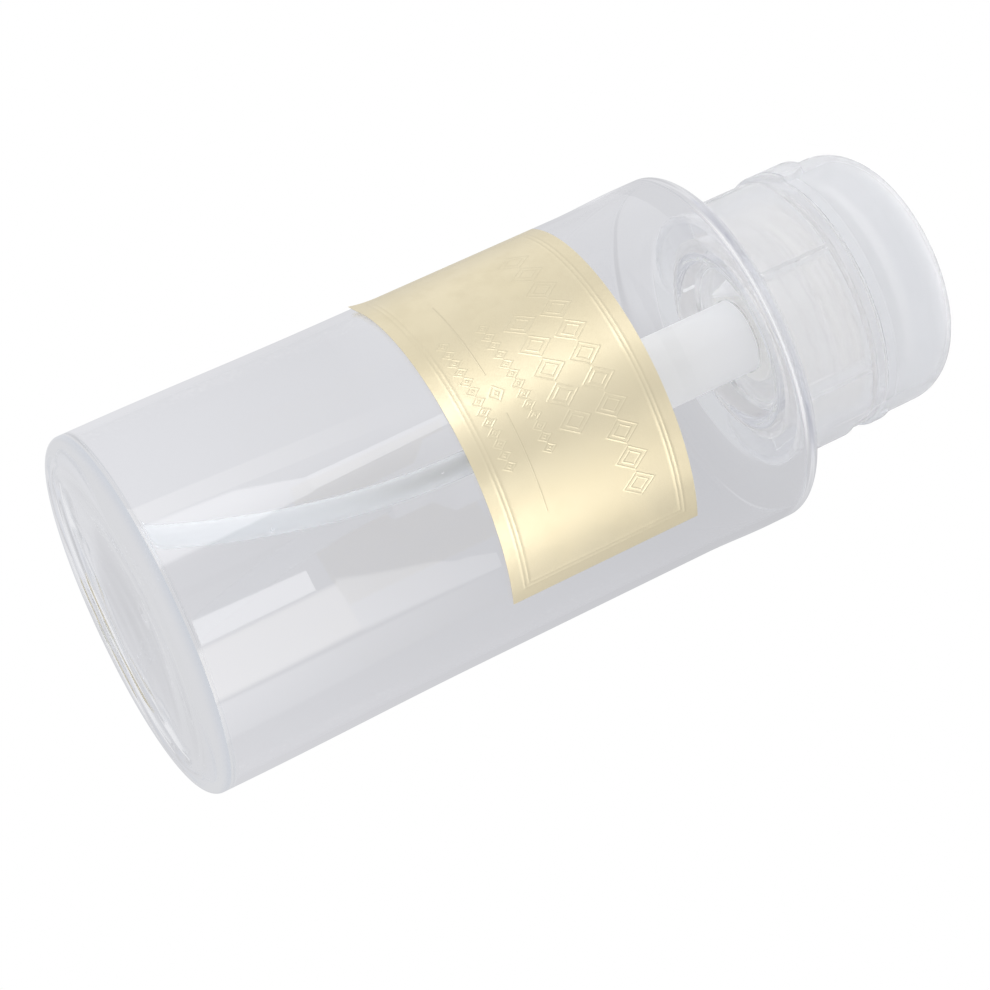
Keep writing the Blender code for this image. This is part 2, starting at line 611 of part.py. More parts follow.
def make_tube():
    """Dip tube that leaves its socket straight and sways toward the heel."""
    path = [Vector((0, 0, TUBE_TOP))]
    for i in range(TUBE_RINGS):
        share = i / (TUBE_RINGS - 1)
        path.append(Vector((-TUBE_SWAY * share ** 2, 0, TAIL_LOW + (TUBE_FOOT - TAIL_LOW) * share)))
    mesh = bmesh.new()
    walls = []
    for radius in (TUBE_RADIUS, TUBE_BORE):
        rings = []
        for i, point in enumerate(path):
            along = (path[min(i + 1, len(path) - 1)] - path[max(i - 1, 0)]).normalized()
            out = Vector((0, 1, 0)).cross(along)
            ring = []
            for j in range(TUBE_SIDES):
                turn = math.tau * j / TUBE_SIDES
                side = out * math.cos(turn) + Vector((0, 1, 0)) * math.sin(turn)
                ring.append(mesh.verts.new(point + side * radius))
            rings.append(ring)
        walls.append(rings)
    for rings in walls:
        for first, second in zip(rings, rings[1:]):
            join_rings(mesh, first, second)
    join_rings(mesh, walls[0][0], walls[1][0])
    join_rings(mesh, walls[0][-1], walls[1][-1])
    tube = made("dip_tube", mesh)
    finish(tube, (0.88, 0.90, 0.92), 0.30, clear=0.7)
    return tube


def join_rings(mesh, first, second):
    """Faces between two rings of as many points."""
    count = len(first)
    for j in range(count):
        after = (j + 1) % count
        mesh.faces.new((first[j], first[after], second[after], second[j]))


def wall_patch(name, inner, outer, low, high, outline, side):
    """Part of a ring on one side of the X axis that lies inside an outline of (y, z)."""
    rim = [(inner, low), (outer, low), (outer, high), (inner, high)]
    patch = turned(name, rim, SIDES_LARGE)
    ends = sorted((side * FOOT_WIDTH, side * (outer + OVERRUN)))
    shape = prism(name + "_outline", outline, ends[0], ends[1])
    combine(patch, shape, 'INTERSECT')
    return patch


def hinge_outline():
    """Rounded outline of the pad that covers the hinge, half on the collar, half on the lid."""
    radius = HINGE_HEIGHT / 2
    reach = HINGE_WIDTH / 2 - radius
    right = ellipse((reach, HINGE_HEIGHT_MID), (radius, radius), -90, 90, HINGE_END_STEPS)
    left = ellipse((-reach, HINGE_HEIGHT_MID), (radius, radius), 90, 270, HINGE_END_STEPS)
    return right + left


def make_collar():
    """Screw collar: outer shell, bored skirt, deck over the well, ribs and a thumb scoop."""
    hole = WELL_RADIUS + OVERRUN
    upstand = LID_BORE - FIT_GAP
    upstand_top = LID_LOW + UPSTAND_HEIGHT
    skirt_low = COLLAR_LOW + SKIRT_RISE
    outline = [(COLLAR_RADIUS, COLLAR_LOW), (COLLAR_RADIUS, COLLAR_RIM - COLLAR_RIM_CHAMFER),
               (COLLAR_RADIUS - COLLAR_RIM_CHAMFER, COLLAR_RIM), (upstand, COLLAR_RIM),
               (upstand, upstand_top), (upstand - UPSTAND_WALL, upstand_top),
               (upstand - UPSTAND_WALL, DECK_TOP), (hole, DECK_TOP), (hole, DECK_LOW),
               (SKIRT_BORE, DECK_LOW), (SKIRT_BORE, skirt_low), (SKIRT_RADIUS, skirt_low),
               (SKIRT_RADIUS, DECK_LOW), (COLLAR_BORE, DECK_LOW), (COLLAR_BORE, COLLAR_LOW)]
    collar = turned("collar", outline, SIDES_LARGE)
    ribs = blocks("rib_guide",
                  (SKIRT_RADIUS - SKIRT_WALL / 2, -RIB_THICKNESS / 2, skirt_low + RIB_FOOT_RISE),
                  (COLLAR_BORE + COLLAR_WALL / 2, RIB_THICKNESS / 2, DECK_LOW + DECK_THICKNESS / 2),
                  [RIB_TURN + 360 * i / RIB_COUNT for i in range(RIB_COUNT)])
    pad = wall_patch("collar_pad_guide", COLLAR_BORE + COLLAR_WALL / 2, HINGE_RADIUS,
                     HINGE_HEIGHT_MID - HINGE_HEIGHT, COLLAR_RIM, hinge_outline(), -1)
    floor = COLLAR_RIM - SCOOP_HEIGHT
    above = COLLAR_RIM + OVERRUN
    scoop_outline = [(-SCOOP_FLOOR_WIDTH / 2, floor), (SCOOP_FLOOR_WIDTH / 2, floor),
                     (SCOOP_RIM_WIDTH / 2, COLLAR_RIM), (SCOOP_RIM_WIDTH / 2, above),
                     (-SCOOP_RIM_WIDTH / 2, above), (-SCOOP_RIM_WIDTH / 2, COLLAR_RIM)]
    scoop = wall_patch("scoop_cutter", COLLAR_RADIUS - SCOOP_DEPTH, COLLAR_RADIUS + OVERRUN,
                       floor - OVERRUN, above, scoop_outline, 1)
    combine(collar, ribs, 'UNION')
    combine(collar, pad, 'UNION')
    combine(collar, scoop, 'DIFFERENCE')
    finish(collar, (0.86, 0.88, 0.90), 0.40, clear=0.5)
    return collar


def make_lid():
    """Domed flip lid with its half of the hinge pad, a thumb lip and a ring that seals the crown."""
    band = LID_RADIUS + LID_BAND_DEPTH
    seal_bore = CROWN_RADIUS - CROWN_WIDTH / 2
    seal = seal_bore + SEAL_WALL
    seal_low = CROWN_TOP + FIT_GAP
    ceiling = LID_TOP - LID_WALL
    inner_round = LID_ROUND - LID_WALL
    outline = [(band, LID_LOW), (band, LID_LOW + LID_BAND_HEIGHT),
               (LID_RADIUS, LID_LOW + LID_BAND_HEIGHT + LID_BAND_DEPTH)]
    outline += ellipse((LID_RADIUS - LID_ROUND, LID_TOP - LID_ROUND), (LID_ROUND, LID_ROUND), 0, 90, 7)
    outline += [(0, LID_TOP), (0, ceiling), (seal_bore, ceiling), (seal_bore, seal_low),
                (seal, seal_low), (seal, ceiling)]
    outline += ellipse((LID_BORE - inner_round, ceiling - inner_round),
                       (inner_round, inner_round), 90, 0, 5)
    outline += [(LID_BORE, LID_LOW)]
    split = outline.index((0, ceiling))
    lid = turned("lid", outline[split:] + outline[:split], SIDES_LARGE)
    pad = wall_patch("lid_pad_guide", LID_BORE + LID_WALL / 2, HINGE_RADIUS,
                     LID_LOW, HINGE_HEIGHT_MID + HINGE_HEIGHT, hinge_outline(), -1)
    half = THUMB_LIP_WIDTH / 2
    top = LID_LOW + THUMB_LIP_HEIGHT
    lip_outline = [(-half, LID_LOW - OVERRUN), (half, LID_LOW - OVERRUN), (half, top), (-half, top)]
    lip = wall_patch("thumb_lip_guide", LID_BORE + LID_WALL / 2, LID_RADIUS + THUMB_LIP_DEPTH,
                     LID_LOW, top + OVERRUN, lip_outline, 1)
    combine(lid, pad, 'UNION')
    combine(lid, lip, 'UNION')
    finish(lid, (0.87, 0.89, 0.91), 0.35, clear=0.5)
    return lid


def build():
    """Model every piece and hang each moving group on its joint's pivot."""
    for thing in list(bpy.data.objects):
        bpy.data.objects.remove(thing)
    make_bottle()
    make_label()
    head = pivot("head_lift", (0, 0, NECK_TOP))
    plunger = pivot("plunger_slide", (0, 0, STEM_TOP), head)
    turn = pivot("collar_turn", (0, 0, COLLAR_LOW), head)
    hinge = pivot("lid_hinge", (-HINGE_RADIUS, 0, HINGE_HEIGHT_MID), turn)
    lower_valve = pivot("lower_valve_slide", (0, 0, LOWER_BALL_HEIGHT), head)
    upper_valve = pivot("upper_valve_slide", (0, 0, UPPER_BALL_HEIGHT), plunger)
    carry(head, [make_gasket(), make_well(), make_housing(), make_ring(), make_spring(), make_tube()])
    carry(plunger, [make_stem(), make_piston(), make_dish(), make_crown()])
    carry(turn, [make_collar()])
    carry(hinge, [make_lid()])
    carry(lower_valve, [make_ball("lower_ball", LOWER_BALL_HEIGHT)])
    carry(upper_valve, [make_ball("upper_ball", UPPER_BALL_HEIGHT)])


build()
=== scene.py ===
# %% [markdown]
# A pump bottle for nail polish remover: the looks
#
# The solids of this bottle are already packed. This notebook loads them as a fixed frame,
# models finer pieces over them, and gives each piece its finish. The bottle is clear blown
# plastic, the closure is milky natural plastic, the pump barrel is white, and the label is
# satin gold foil with a pressed frame. Blender works in metres with Z up, and the sizes in
# the outlines below are in millimetres, as on a maker's drawing.

# %% Load the frame
import math

import bmesh
import bpy
from mathutils import Matrix, Vector


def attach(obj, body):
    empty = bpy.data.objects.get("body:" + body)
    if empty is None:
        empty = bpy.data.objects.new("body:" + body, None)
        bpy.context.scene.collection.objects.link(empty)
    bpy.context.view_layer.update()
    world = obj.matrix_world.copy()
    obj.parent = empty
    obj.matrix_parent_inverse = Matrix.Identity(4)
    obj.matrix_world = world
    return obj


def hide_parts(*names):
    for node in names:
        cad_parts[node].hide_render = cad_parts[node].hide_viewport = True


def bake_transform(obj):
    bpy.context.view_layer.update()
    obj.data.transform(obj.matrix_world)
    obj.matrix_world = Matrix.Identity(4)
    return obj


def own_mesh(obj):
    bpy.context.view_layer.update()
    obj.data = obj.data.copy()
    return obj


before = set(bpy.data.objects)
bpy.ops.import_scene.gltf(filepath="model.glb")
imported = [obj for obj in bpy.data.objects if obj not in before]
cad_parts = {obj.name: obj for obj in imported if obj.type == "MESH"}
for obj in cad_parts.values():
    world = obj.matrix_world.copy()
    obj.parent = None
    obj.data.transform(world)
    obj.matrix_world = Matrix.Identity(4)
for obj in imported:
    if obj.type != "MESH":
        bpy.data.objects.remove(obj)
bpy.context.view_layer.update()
MM = 0.001

# %% [markdown]
# The camera
#
# The picture was taken from a little below the bottle's foot and rather close, so the foot
# looks large and the lid small. The bottle's own frame stays upright here, and the camera is
# tilted instead. Two level directions help to place it: near points from the bottle's axis to
# the camera, and side points to the camera's own side, square to that.

# %% Place the camera
NEAR_ANGLE = -92
NEAR = Vector((math.cos(math.radians(NEAR_ANGLE)), math.sin(math.radians(NEAR_ANGLE)), 0))
SIDE = Vector((-NEAR.y, NEAR.x, 0))
UP = Vector((0, 0, 1))
SENSOR_WIDTH = 36.0
PICTURE_WIDTH = 990
FOCAL_PIXELS = 3016.1
CAMERA_PLACE = (0.0066, 0.45767, -0.07909)
CAMERA_RIGHT = (0.4264, 0.2668, 0.8644)
CAMERA_FORWARD = (0.0, -0.9555, 0.2949)


def in_view_frame(along_side, along_near, along_up):
    """A vector from its shares along the side, near and up directions."""
    return SIDE * along_side + NEAR * along_near + UP * along_up


camera_data = bpy.data.cameras.new("view_camera")
camera_data.sensor_width = SENSOR_WIDTH
camera_data.lens = FOCAL_PIXELS / PICTURE_WIDTH * SENSOR_WIDTH
camera_data.clip_start = 0.01
camera_data.clip_end = 20
camera = bpy.data.objects.new("view_camera", camera_data)
bpy.context.scene.collection.objects.link(camera)
right = in_view_frame(*CAMERA_RIGHT).normalized()
forward = in_view_frame(*CAMERA_FORWARD).normalized()
turn = Matrix((right, right.cross(forward), -forward)).transposed()
camera.matrix_world = Matrix.Translation(in_view_frame(*CAMERA_PLACE)) @ turn.to_4x4()
bpy.context.scene.camera = camera
print("lens %.1f mm" % camera_data.lens)

# %% [markdown]
# Light for clear and milky plastic
#
# A clear bottle has no colour of its own. It shows what stands behind it, and its shape is
# told by the bright cards that its wall reflects. The world is therefore pale grey to rays
# that have passed a wall or bounced off one, with a light ceiling, and white to the camera
# alone. A clear wall can also catch a ray and pass it along by many bounces, and a ray that
# runs out of bounces comes back black. So the limits stand high here, and the clear materials
# further down let a ray go straight on once it has bounced often.

# %% World and ray bounces
SEEN_TONE = 1.0
LIGHT_LEFT = (1.24, 1.24, 1.24)
LIGHT_RIGHT = (0.80, 0.80, 0.805)
LIGHT_REACH = 0.9
LEFT_TONE = (0.772, 0.775, 0.803)
RIGHT_TONE = (0.664, 0.666, 0.692)
LEFT_TO = -0.048
RIGHT_FROM = -0.022
LOW_SLOPE = 0.19
HIGH_SLOPE = 0.34
HIGH_FADE = 0.87
CEILING_TONE = (0.90, 0.90, 0.92)
CEILING_LOW = 0.65
CEILING_HIGH = 0.9
BOUNCES = 40

scene = bpy.context.scene
scene.view_settings.view_transform = "Standard"
scene.cycles.max_bounces = BOUNCES
scene.cycles.transmission_bounces = BOUNCES
scene.cycles.transparent_max_bounces = BOUNCES
scene.cycles.glossy_bounces = BOUNCES


def add_node(tree, kind, settings=None, values=None):
    """Add a node, with its settings as attributes and its socket values by name."""
    node = tree.nodes.new(kind)
    for key, value in (settings or {}).items():
        setattr(node, key, value)
    for key, value in (values or {}).items():
        node.inputs[key].default_value = value
    return node


def wire_up(tree, *pairs):
    """Link pairs of sockets."""
    for source, target in pairs:
        tree.links.new(source, target)


def link_or_set(tree, socket, value):
    """Feed a socket from another socket, or give it a constant."""
    if isinstance(value, bpy.types.NodeSocket):
        tree.links.new(value, socket)
    else:
        socket.default_value = value


def maths(tree, operation, first, second=0.0, clamp=False):
    """The result of a sum with sockets or numbers."""
    node = add_node(tree, "ShaderNodeMath", {"operation": operation, "use_clamp": clamp})
    link_or_set(tree, node.inputs[0], first)
    link_or_set(tree, node.inputs[1], second)
    return node.outputs["Value"]


def vector_maths(tree, operation, first, second=(0, 0, 0)):
    """The result of a sum with vectors: a number for a length or a product, else a vector."""
    node = add_node(tree, "ShaderNodeVectorMath", {"operation": operation})
    link_or_set(tree, node.inputs[0], first)
    link_or_set(tree, node.inputs[1], second)
    return node.outputs["Value" if operation in ("DOT_PRODUCT", "LENGTH") else "Vector"]


def ramp(tree, value, start, end, low=0.0, high=1.0, soft=False):
    """A value that goes from low to high while another goes from start to end."""
    node = add_node(tree, "ShaderNodeMapRange", {"interpolation_type": "SMOOTHSTEP" if soft else "LINEAR"},
                    {"From Min": start, "From Max": end, "To Min": low, "To Max": high})
    tree.links.new(value, node.inputs["Value"])
    return node.outputs["Result"]


def mix_tones(tree, share, first, second):
    """A colour between two others, each a socket or three numbers."""
    node = add_node(tree, "ShaderNodeMix", {"data_type": "RGBA"})
    for name, tone in (("A", first), ("B", second)):
        link_or_set(tree, node.inputs[name], (*tone, 1) if isinstance(tone, tuple) else tone)
    tree.links.new(share, node.inputs["Factor"])
    return node.outputs["Result"]


def upward_part(tree, vector):
    """The share of a vector that points up."""
    node = add_node(tree, "ShaderNodeSeparateXYZ")
    tree.links.new(vector, node.inputs["Vector"])
    return node.outputs["Z"]


def mix_shaders(tree, share, first, second):
    """A shader between two others."""
    node = add_node(tree, "ShaderNodeMixShader")
    wire_up(tree, (share, node.inputs["Fac"]), (first, node.inputs[1]), (second, node.inputs[2]))
    return node.outputs["Shader"]


def new_material(name):
    """A material that draws with nodes."""
    material = bpy.data.materials.new(name)
    material.use_nodes = True
    return material


def studio_tones(tree):
    """Colours of the studio for rays that left the glass and for soft light, from their direction."""
    direction = add_node(tree, "ShaderNodeTexCoord").outputs["Generated"]
    across = vector_maths(tree, "DOT_PRODUCT", direction, SIDE)
    slope = upward_part(tree, direction)
    tone = mix_tones(tree, ramp(tree, across, LEFT_TO, RIGHT_FROM, soft=True), LEFT_TONE, RIGHT_TONE)
    light = mix_tones(tree, ramp(tree, across, -LIGHT_REACH, LIGHT_REACH, soft=True), LIGHT_LEFT, LIGHT_RIGHT)
    faded = add_node(tree, "ShaderNodeVectorMath", {"operation": "SCALE"})
    wire_up(tree,
            (tone, faded.inputs[0]),
            (ramp(tree, slope, LOW_SLOPE, HIGH_SLOPE, 1.0, HIGH_FADE), faded.inputs["Scale"]))
    ceiling_share = ramp(tree, slope, CEILING_LOW, CEILING_HIGH, soft=True)
    return mix_tones(tree, ceiling_share, faded.outputs["Vector"], CEILING_TONE), light


world = bpy.data.worlds.new("pale_studio")
scene.world = world
world.use_nodes = True
tree = world.node_tree
tree.nodes.clear()
rays = add_node(tree, "ShaderNodeLightPath")
backdrop, soft_light = studio_tones(tree)
to_light = mix_tones(tree, rays.outputs["Is Diffuse Ray"], backdrop, soft_light)
to_camera = mix_tones(tree, rays.outputs["Is Camera Ray"], to_light, (SEEN_TONE, SEEN_TONE, SEEN_TONE))
background = add_node(tree, "ShaderNodeBackground")
world_output = add_node(tree, "ShaderNodeOutputWorld")
wire_up(tree,
        (to_camera, background.inputs["Color"]),
        (background.outputs["Background"], world_output.inputs["Surface"]))
print("world as light from %.2f to %.2f" % (LIGHT_LEFT[0], LIGHT_RIGHT[0]))

# %% [markdown]
# Cards of light
#
# A card is planned by where its mirror image should lie on the near wall, as a photographer
# does: so many millimetres beside the axis, at such a height of the picture. From that spot
# the camera's sight line is mirrored by the round wall, and the card stands where the mirrored
# line ends. Each card is a bent grid that glows. Its glow is written on its points, softer
# toward the edges, and one material reads it. The glow is added to the world behind the card,
# so a soft edge fades into the world's own tone.

# %% Where a card has to stand
CARD_DISTANCE = 0.8
MIRROR_RADIUS = 29.8
DRAW_IN = 0.4
DRAW_IN_LOW = 8.0
DRAW_IN_RUN = 38.0


def ease(share):
    """A share from 0 to 1 that starts and ends gently."""
    return share * share * (3 - 2 * share)


def wall_lean(height):
    """Slope of the bottle's wall at a height, where it draws in toward the label's waist."""
    share = min(1.0, max(0.0, (height - DRAW_IN_LOW) / DRAW_IN_RUN))
    return DRAW_IN / DRAW_IN_RUN * 6 * share * (1 - share)


def mirrored_place(beside, seen_height, distance=CARD_DISTANCE):
    """Where a card stands to be mirrored at a spot given in millimetres of the picture."""
    eye_side, eye_near, eye_up = (share / MM for share in CAMERA_PLACE)
    turn = math.asin(beside / MIRROR_RADIUS)
    wall_near = MIRROR_RADIUS * math.cos(turn)
    azimuth = 2 * turn - (eye_side - beside) / (eye_near - wall_near)
    climb = (seen_height - eye_up) / eye_near
    wall_height = eye_up + climb * (eye_near - wall_near)
    run = distance / MM - MIRROR_RADIUS
    height = wall_height + (climb + 2 * wall_lean(wall_height)) * run
    return in_view_frame(math.sin(azimuth) * distance, math.cos(azimuth) * distance, height * MM)


print("a card for the axis stands at %.2f m" % mirrored_place(0, 20).z)

# %% Cards of light
WARM = (1.0, 0.965, 0.90)
PLAIN = (1.0, 1.0, 1.0)
CARD_STEPS = 24
EDGE_SHARE = 0.2
BEHIND = 1.0

card_glow = new_material("card_glow")
tree = card_glow.node_tree
tree.nodes.remove(tree.nodes["Principled BSDF"])
written = add_node(tree, "ShaderNodeAttribute", {"attribute_name": "glow"})
shine = add_node(tree, "ShaderNodeEmission")
world_behind = add_node(tree, "ShaderNodeBsdfTransparent")
added = add_node(tree, "ShaderNodeAddShader")
wire_up(tree,
        (written.outputs["Color"], shine.inputs["Color"]),
        (shine.outputs["Emission"], added.inputs[0]),
        (world_behind.outputs["BSDF"], added.inputs[1]),
        (added.outputs["Shader"], tree.nodes["Material Output"].inputs["Surface"]))


def start_fresh():
    """Leave edit mode and deselect everything, so an operator acts on the new piece alone."""
    if bpy.context.object and bpy.context.object.mode != "OBJECT":
        bpy.ops.object.mode_set(mode="OBJECT")
    bpy.ops.object.select_all(action="DESELECT")


def pick(piece):
    """Select one piece alone and make it active."""
    start_fresh()
    piece.select_set(True)
    bpy.context.view_layer.objects.active = piece


def hang_card(name, low_edge, high_edge, heights, glow, colour=PLAIN, top_share=1.0, right_share=1.0,
              soft=0.12, soft_foot=0.0, distance=CARD_DISTANCE):
    """A glowing card, from the sides of its mirror image low and high and its two heights."""
    start_fresh()
    bpy.ops.mesh.primitive_grid_add(x_subdivisions=CARD_STEPS, y_subdivisions=CARD_STEPS, size=1)
    card = bpy.context.object
    card.name = name
    written = card.data.color_attributes.new("glow", "FLOAT_COLOR", "POINT")
    low, high = heights
    for vertex in card.data.vertices:
        across, upward = vertex.co.x + 0.5, vertex.co.y + 0.5
        left = low_edge[0] + (high_edge[0] - low_edge[0]) * upward
        right = low_edge[1] + (high_edge[1] - low_edge[1]) * upward
        edge = ease(min(1.0, min(across, 1 - across) / soft + EDGE_SHARE))
        share = edge * (1 + (top_share - 1) * upward) * (1 + (right_share - 1) * across)
        if soft_foot:
            share *= ease(min(1.0, upward / soft_foot))
        written.data[vertex.index].color = (*(glow * share * channel for channel in colour), 1)
        vertex.co = mirrored_place(left + (right - left) * across, low + (high - low) * upward, distance)
    card.data.materials.append(card_glow)
    for kind in ("camera", "diffuse", "transmission", "shadow"):
        setattr(card, "visible_" + kind, False)
    print("%s: radiance %.2f" % (name, glow))
    return card


hang_card("left_lens_card", (-11.6, -4.0), (-10.2, -4.4), (-3, 24), 2.3)
hang_card("left_taper_card", (-10.2, -4.4), (-7.5, -5.0), (24, 36), 2.3, top_share=0.9)
hang_card("left_blade_card", (-7.6, -5.2), (-7.7, -5.9), (36, 64), 2.5, top_share=0.7)
hang_card("left_warm_card", (-14.0, -11.2), (-12.4, -9.2), (-3, 56), 1.5, WARM, top_share=0.02)
hang_card("left_edge_card", (-28.5, -16.0), (-28.5, -16.0), (46, 99), 0.40, soft=0.4, soft_foot=0.3,
          distance=BEHIND)
hang_card("left_label_card", (-19.0, 8.0), (-19.0, 8.0), (46, 99), 0.42, soft=0.5, soft_foot=0.3,
          distance=BEHIND)
hang_card("right_inner_card", (4.2, 8.2), (4.6, 8.0), (9, 29.5), 2.95)
hang_card("right_outer_card", (8.2, 16.6), (8.0, 16.2), (-3, 33), 2.9, WARM, top_share=0.85)
hang_card("right_wedge_card", (7.4, 16.4), (14.2, 16.6), (33, 59), 1.9, top_share=0.5)
hang_card("right_shade_card", (16.4, 22.5), (16.8, 21.0), (-3, 58), 2.0, top_share=0.05,
          right_share=0.25)

# %% Lamps for soft shade
FILL_PLACES = {"overhead_card": ((0, 0, 1.0), 0.8, 0.6), "back_fill_card": ((0, -1.1, 0.35), 1.1, 0.2)}

for name, (place, size, glow) in FILL_PLACES.items():
    start_fresh()
    bpy.ops.object.light_add(type="AREA", location=in_view_frame(*place))
    lamp = bpy.context.object
    lamp.name = name
    lamp.data.size = size
    lamp.data.energy = glow * math.pi * size * size
    lamp.rotation_euler = (-lamp.location).to_track_quat("-Z", "Y").to_euler()
    for kind in ("camera", "transmission", "glossy"):
        setattr(lamp, "visible_" + kind, False)
    print("%s: %.1f m" % (name, size))

# %% Pale floor
FLOOR_TONE = 0.86
FLOOR_GAP = 0.05
FLOOR_BEHIND_GLASS = (0.70, 0.705, 0.725, 1)

start_fresh()
bpy.ops.mesh.primitive_plane_add(size=6, location=(0, 0, -FLOOR_GAP * MM))
floor = bpy.context.object
floor.name = "studio_floor"
floor_paint = new_material("floor_paint")
tree = floor_paint.node_tree
paint = tree.nodes["Principled BSDF"]
paint.inputs["Base Color"].default_value = (FLOOR_TONE, FLOOR_TONE, FLOOR_TONE, 1)
paint.inputs["Roughness"].default_value = 0.7
rays = add_node(tree, "ShaderNodeLightPath").outputs
by_glass = maths(tree, "MAXIMUM", rays["Is Glossy Ray"], rays["Is Transmission Ray"])
backdrop = add_node(tree, "ShaderNodeEmission", values={"Color": FLOOR_BEHIND_GLASS, "Strength": 1.0})
see_through = add_node(tree, "ShaderNodeBsdfTransparent")
side_seen = add_node(tree, "ShaderNodeNewGeometry")
upper_side = mix_shaders(tree, by_glass, paint.outputs["BSDF"], backdrop.outputs["Emission"])
both_sides = mix_shaders(tree, side_seen.outputs["Backfacing"], upper_side, see_through.outputs["BSDF"])
tree.links.new(both_sides, tree.nodes["Material Output"].inputs["Surface"])
floor.data.materials.append(floor_paint)

# %% [markdown]
# Shapes turned on a lathe
#
# A bottle, a cap and a pump barrel are all round about one axis. Each is drawn as half an
# outline of radius and height points, and the outline is then spun about the axis. A spin
# from one outline gives an even wall that a stack of cylinders can't. Corners get a small
# bow, as a mould leaves them, and each long straight run gets a point close to each end, so
# that smooth shading stays flat up to the corner. A bow gets close points instead, for a clear
# wall shows each fold of its shading.

# %% Outlines in millimetres
def bow(centre_radius, centre_height, across, upward, start, end, steps=10):
    """Points on an elliptical bow, with angles in degrees from the outward direction."""
    points = []
    for step in range(steps + 1):
        angle = math.radians(start + (end - start) * step / steps)
        points.append((centre_radius + across * math.cos(angle), centre_height + upward * math.sin(angle)))
    return points


def soften(outline, radius, ring=True, steps=3):
    """Round each sharp corner of an outline. A ring outline is closed on itself."""
    points = [Vector(point) for point in outline]
    softened = []
    for index, corner in enumerate(points):
        end_point = not ring and index in (0, len(points) - 1)
        to_last = points[index - 1] - corner
        to_next = points[(index + 1) % len(points)] - corner
        bend = math.pi - to_last.angle(to_next)
        if end_point or bend < math.radians(25):
            softened.append(corner)
            continue
        reach = min(radius * math.tan(bend / 2), to_last.length * 0.45, to_next.length * 0.45)
        first = corner + to_last.normalized() * reach
        last = corner + to_next.normalized() * reach
        for step in range(steps + 1):
            share = step / steps
            softened.append(first * (1 - share) ** 2 + corner * 2 * share * (1 - share) + last * share ** 2)
    if ring:
        softened.append(softened[0])
    return [tuple(point) for point in softened]


def curve(profile, start, end, steps):
    """Points of an outline whose height is a function of the radius."""
    radii = [start + (end - start) * step / steps for step in range(steps + 1)]
    return [(radius, profile(radius)) for radius in radii]


def hold(outline, reach=0.15, straight=1.2):
    """Add a point close to both ends of each long straight run."""
    held = [outline[0]]
    for first, last in zip(outline, outline[1:]):
        start, end = Vector(first), Vector(last)
        run = end - start
        if run.length > straight:
            held.append(tuple(start + run.normalized() * reach))
            held.append(tuple(end - run.normalized() * reach))
        held.append(last)
    return held


print("bow of a quarter turn:", len(bow(0, 0, 1, 1, 0, 90)), "points")

# %% Spin an outline into a body
SMOOTH_ANGLE = math.radians(38)


def open_mesh():
    """Edit the active piece with all of it selected."""
    bpy.ops.object.mode_set(mode="EDIT")
    bpy.ops.mesh.select_all(action="SELECT")


def start_point(name, place):
    """A new piece that is one point, open for extrusions."""
    start_fresh()
    bpy.ops.mesh.primitive_plane_add(size=MM)
    piece = bpy.context.object
    piece.name = name
    open_mesh()
    bpy.ops.mesh.merge(type="CENTER")
    bpy.ops.transform.translate(value=place)
    return piece


def turn_body(name, outline, steps=128):
    """Draw the outline with extrusions of one point, spin it about Z and close it."""
    places = [Vector((radius, 0, height)) * MM for radius, height in outline]
    piece = start_point(name, places[0])
    for here, there in zip(places, places[1:]):
        bpy.ops.mesh.extrude_region_move(TRANSFORM_OT_translate={"value": there - here})
    bpy.ops.mesh.select_all(action="SELECT")
    bpy.ops.mesh.spin(steps=steps, angle=math.tau, center=(0, 0, 0), axis=(0, 0, 1))
    bpy.ops.mesh.select_all(action="SELECT")
    bpy.ops.mesh.remove_doubles(threshold=0.00001)
    face_outward(piece)
    return piece


def smooth(piece, angle=SMOOTH_ANGLE):
    """Shade a piece smooth, with its sharp corners kept."""
    pick(piece)
    bpy.ops.object.shade_smooth_by_angle(angle=angle)
    print("%s: %d faces" % (piece.name, len(piece.data.polygons)))


def apply_modifier(piece, modifier):
    """Apply one modifier as the button does."""
    pick(piece)
    bpy.ops.object.modifier_apply(modifier=modifier.name)


def face_outward(piece):
    """Turn all faces of a piece the same way out."""
    pick(piece)
    open_mesh()
    bpy.ops.mesh.normals_make_consistent(inside=False)
    bpy.ops.object.mode_set(mode="OBJECT")


def settle():
    """Write the active piece's place, turn and size into its points."""
    bpy.ops.object.transform_apply(location=True, rotation=True, scale=True)


def add_drum(radius, depth, height, steps):
    """A cylinder about the bottle's axis, in millimetres, from the height of its middle."""
    start_fresh()
    bpy.ops.mesh.primitive_cylinder_add(vertices=steps, radius=radius * MM, depth=depth * MM,
                                        location=(0, 0, height * MM))
    return bpy.context.object


def join_solids(piece, other, operation):
    """Add another solid to a piece or cut it away, and delete the other one."""
    modifier = piece.modifiers.new("join", "BOOLEAN")
    modifier.operation = operation
    modifier.solver = "EXACT"
    modifier.object = other
    apply_modifier(piece, modifier)
    bpy.data.objects.remove(other)


# %% [markdown]
# The bottle
#
# It is blown from a clear tube: a domed foot with a ring to stand on, a wall that draws in by
# less than half a millimetre where the label sits, a soft shoulder and a neck. The thread on
# the neck isn't a second body, because two clear bodies that overlap show the faces inside.
# The neck gets close rings of points, a vertex group says how far the thread stands out at
# each point, and a Displace modifier pushes the points out by that much.

# %% Bottle outline
WALL_RADIUS = 30.0
WAIST_RADIUS = 29.6
NECK_RADIUS = 15.1
NECK_TOP = 120.6


def punt_outside(radius):
    """Height of the foot's hollow underside, with the soft mark of the gate in its middle."""
    gate_mark = 0.25 * math.exp(-(radius / 1.3) ** 2)
    return 3.0 * max(0.0, 1 - (radius / 24.6) ** 2) ** 1.25 - gate_mark


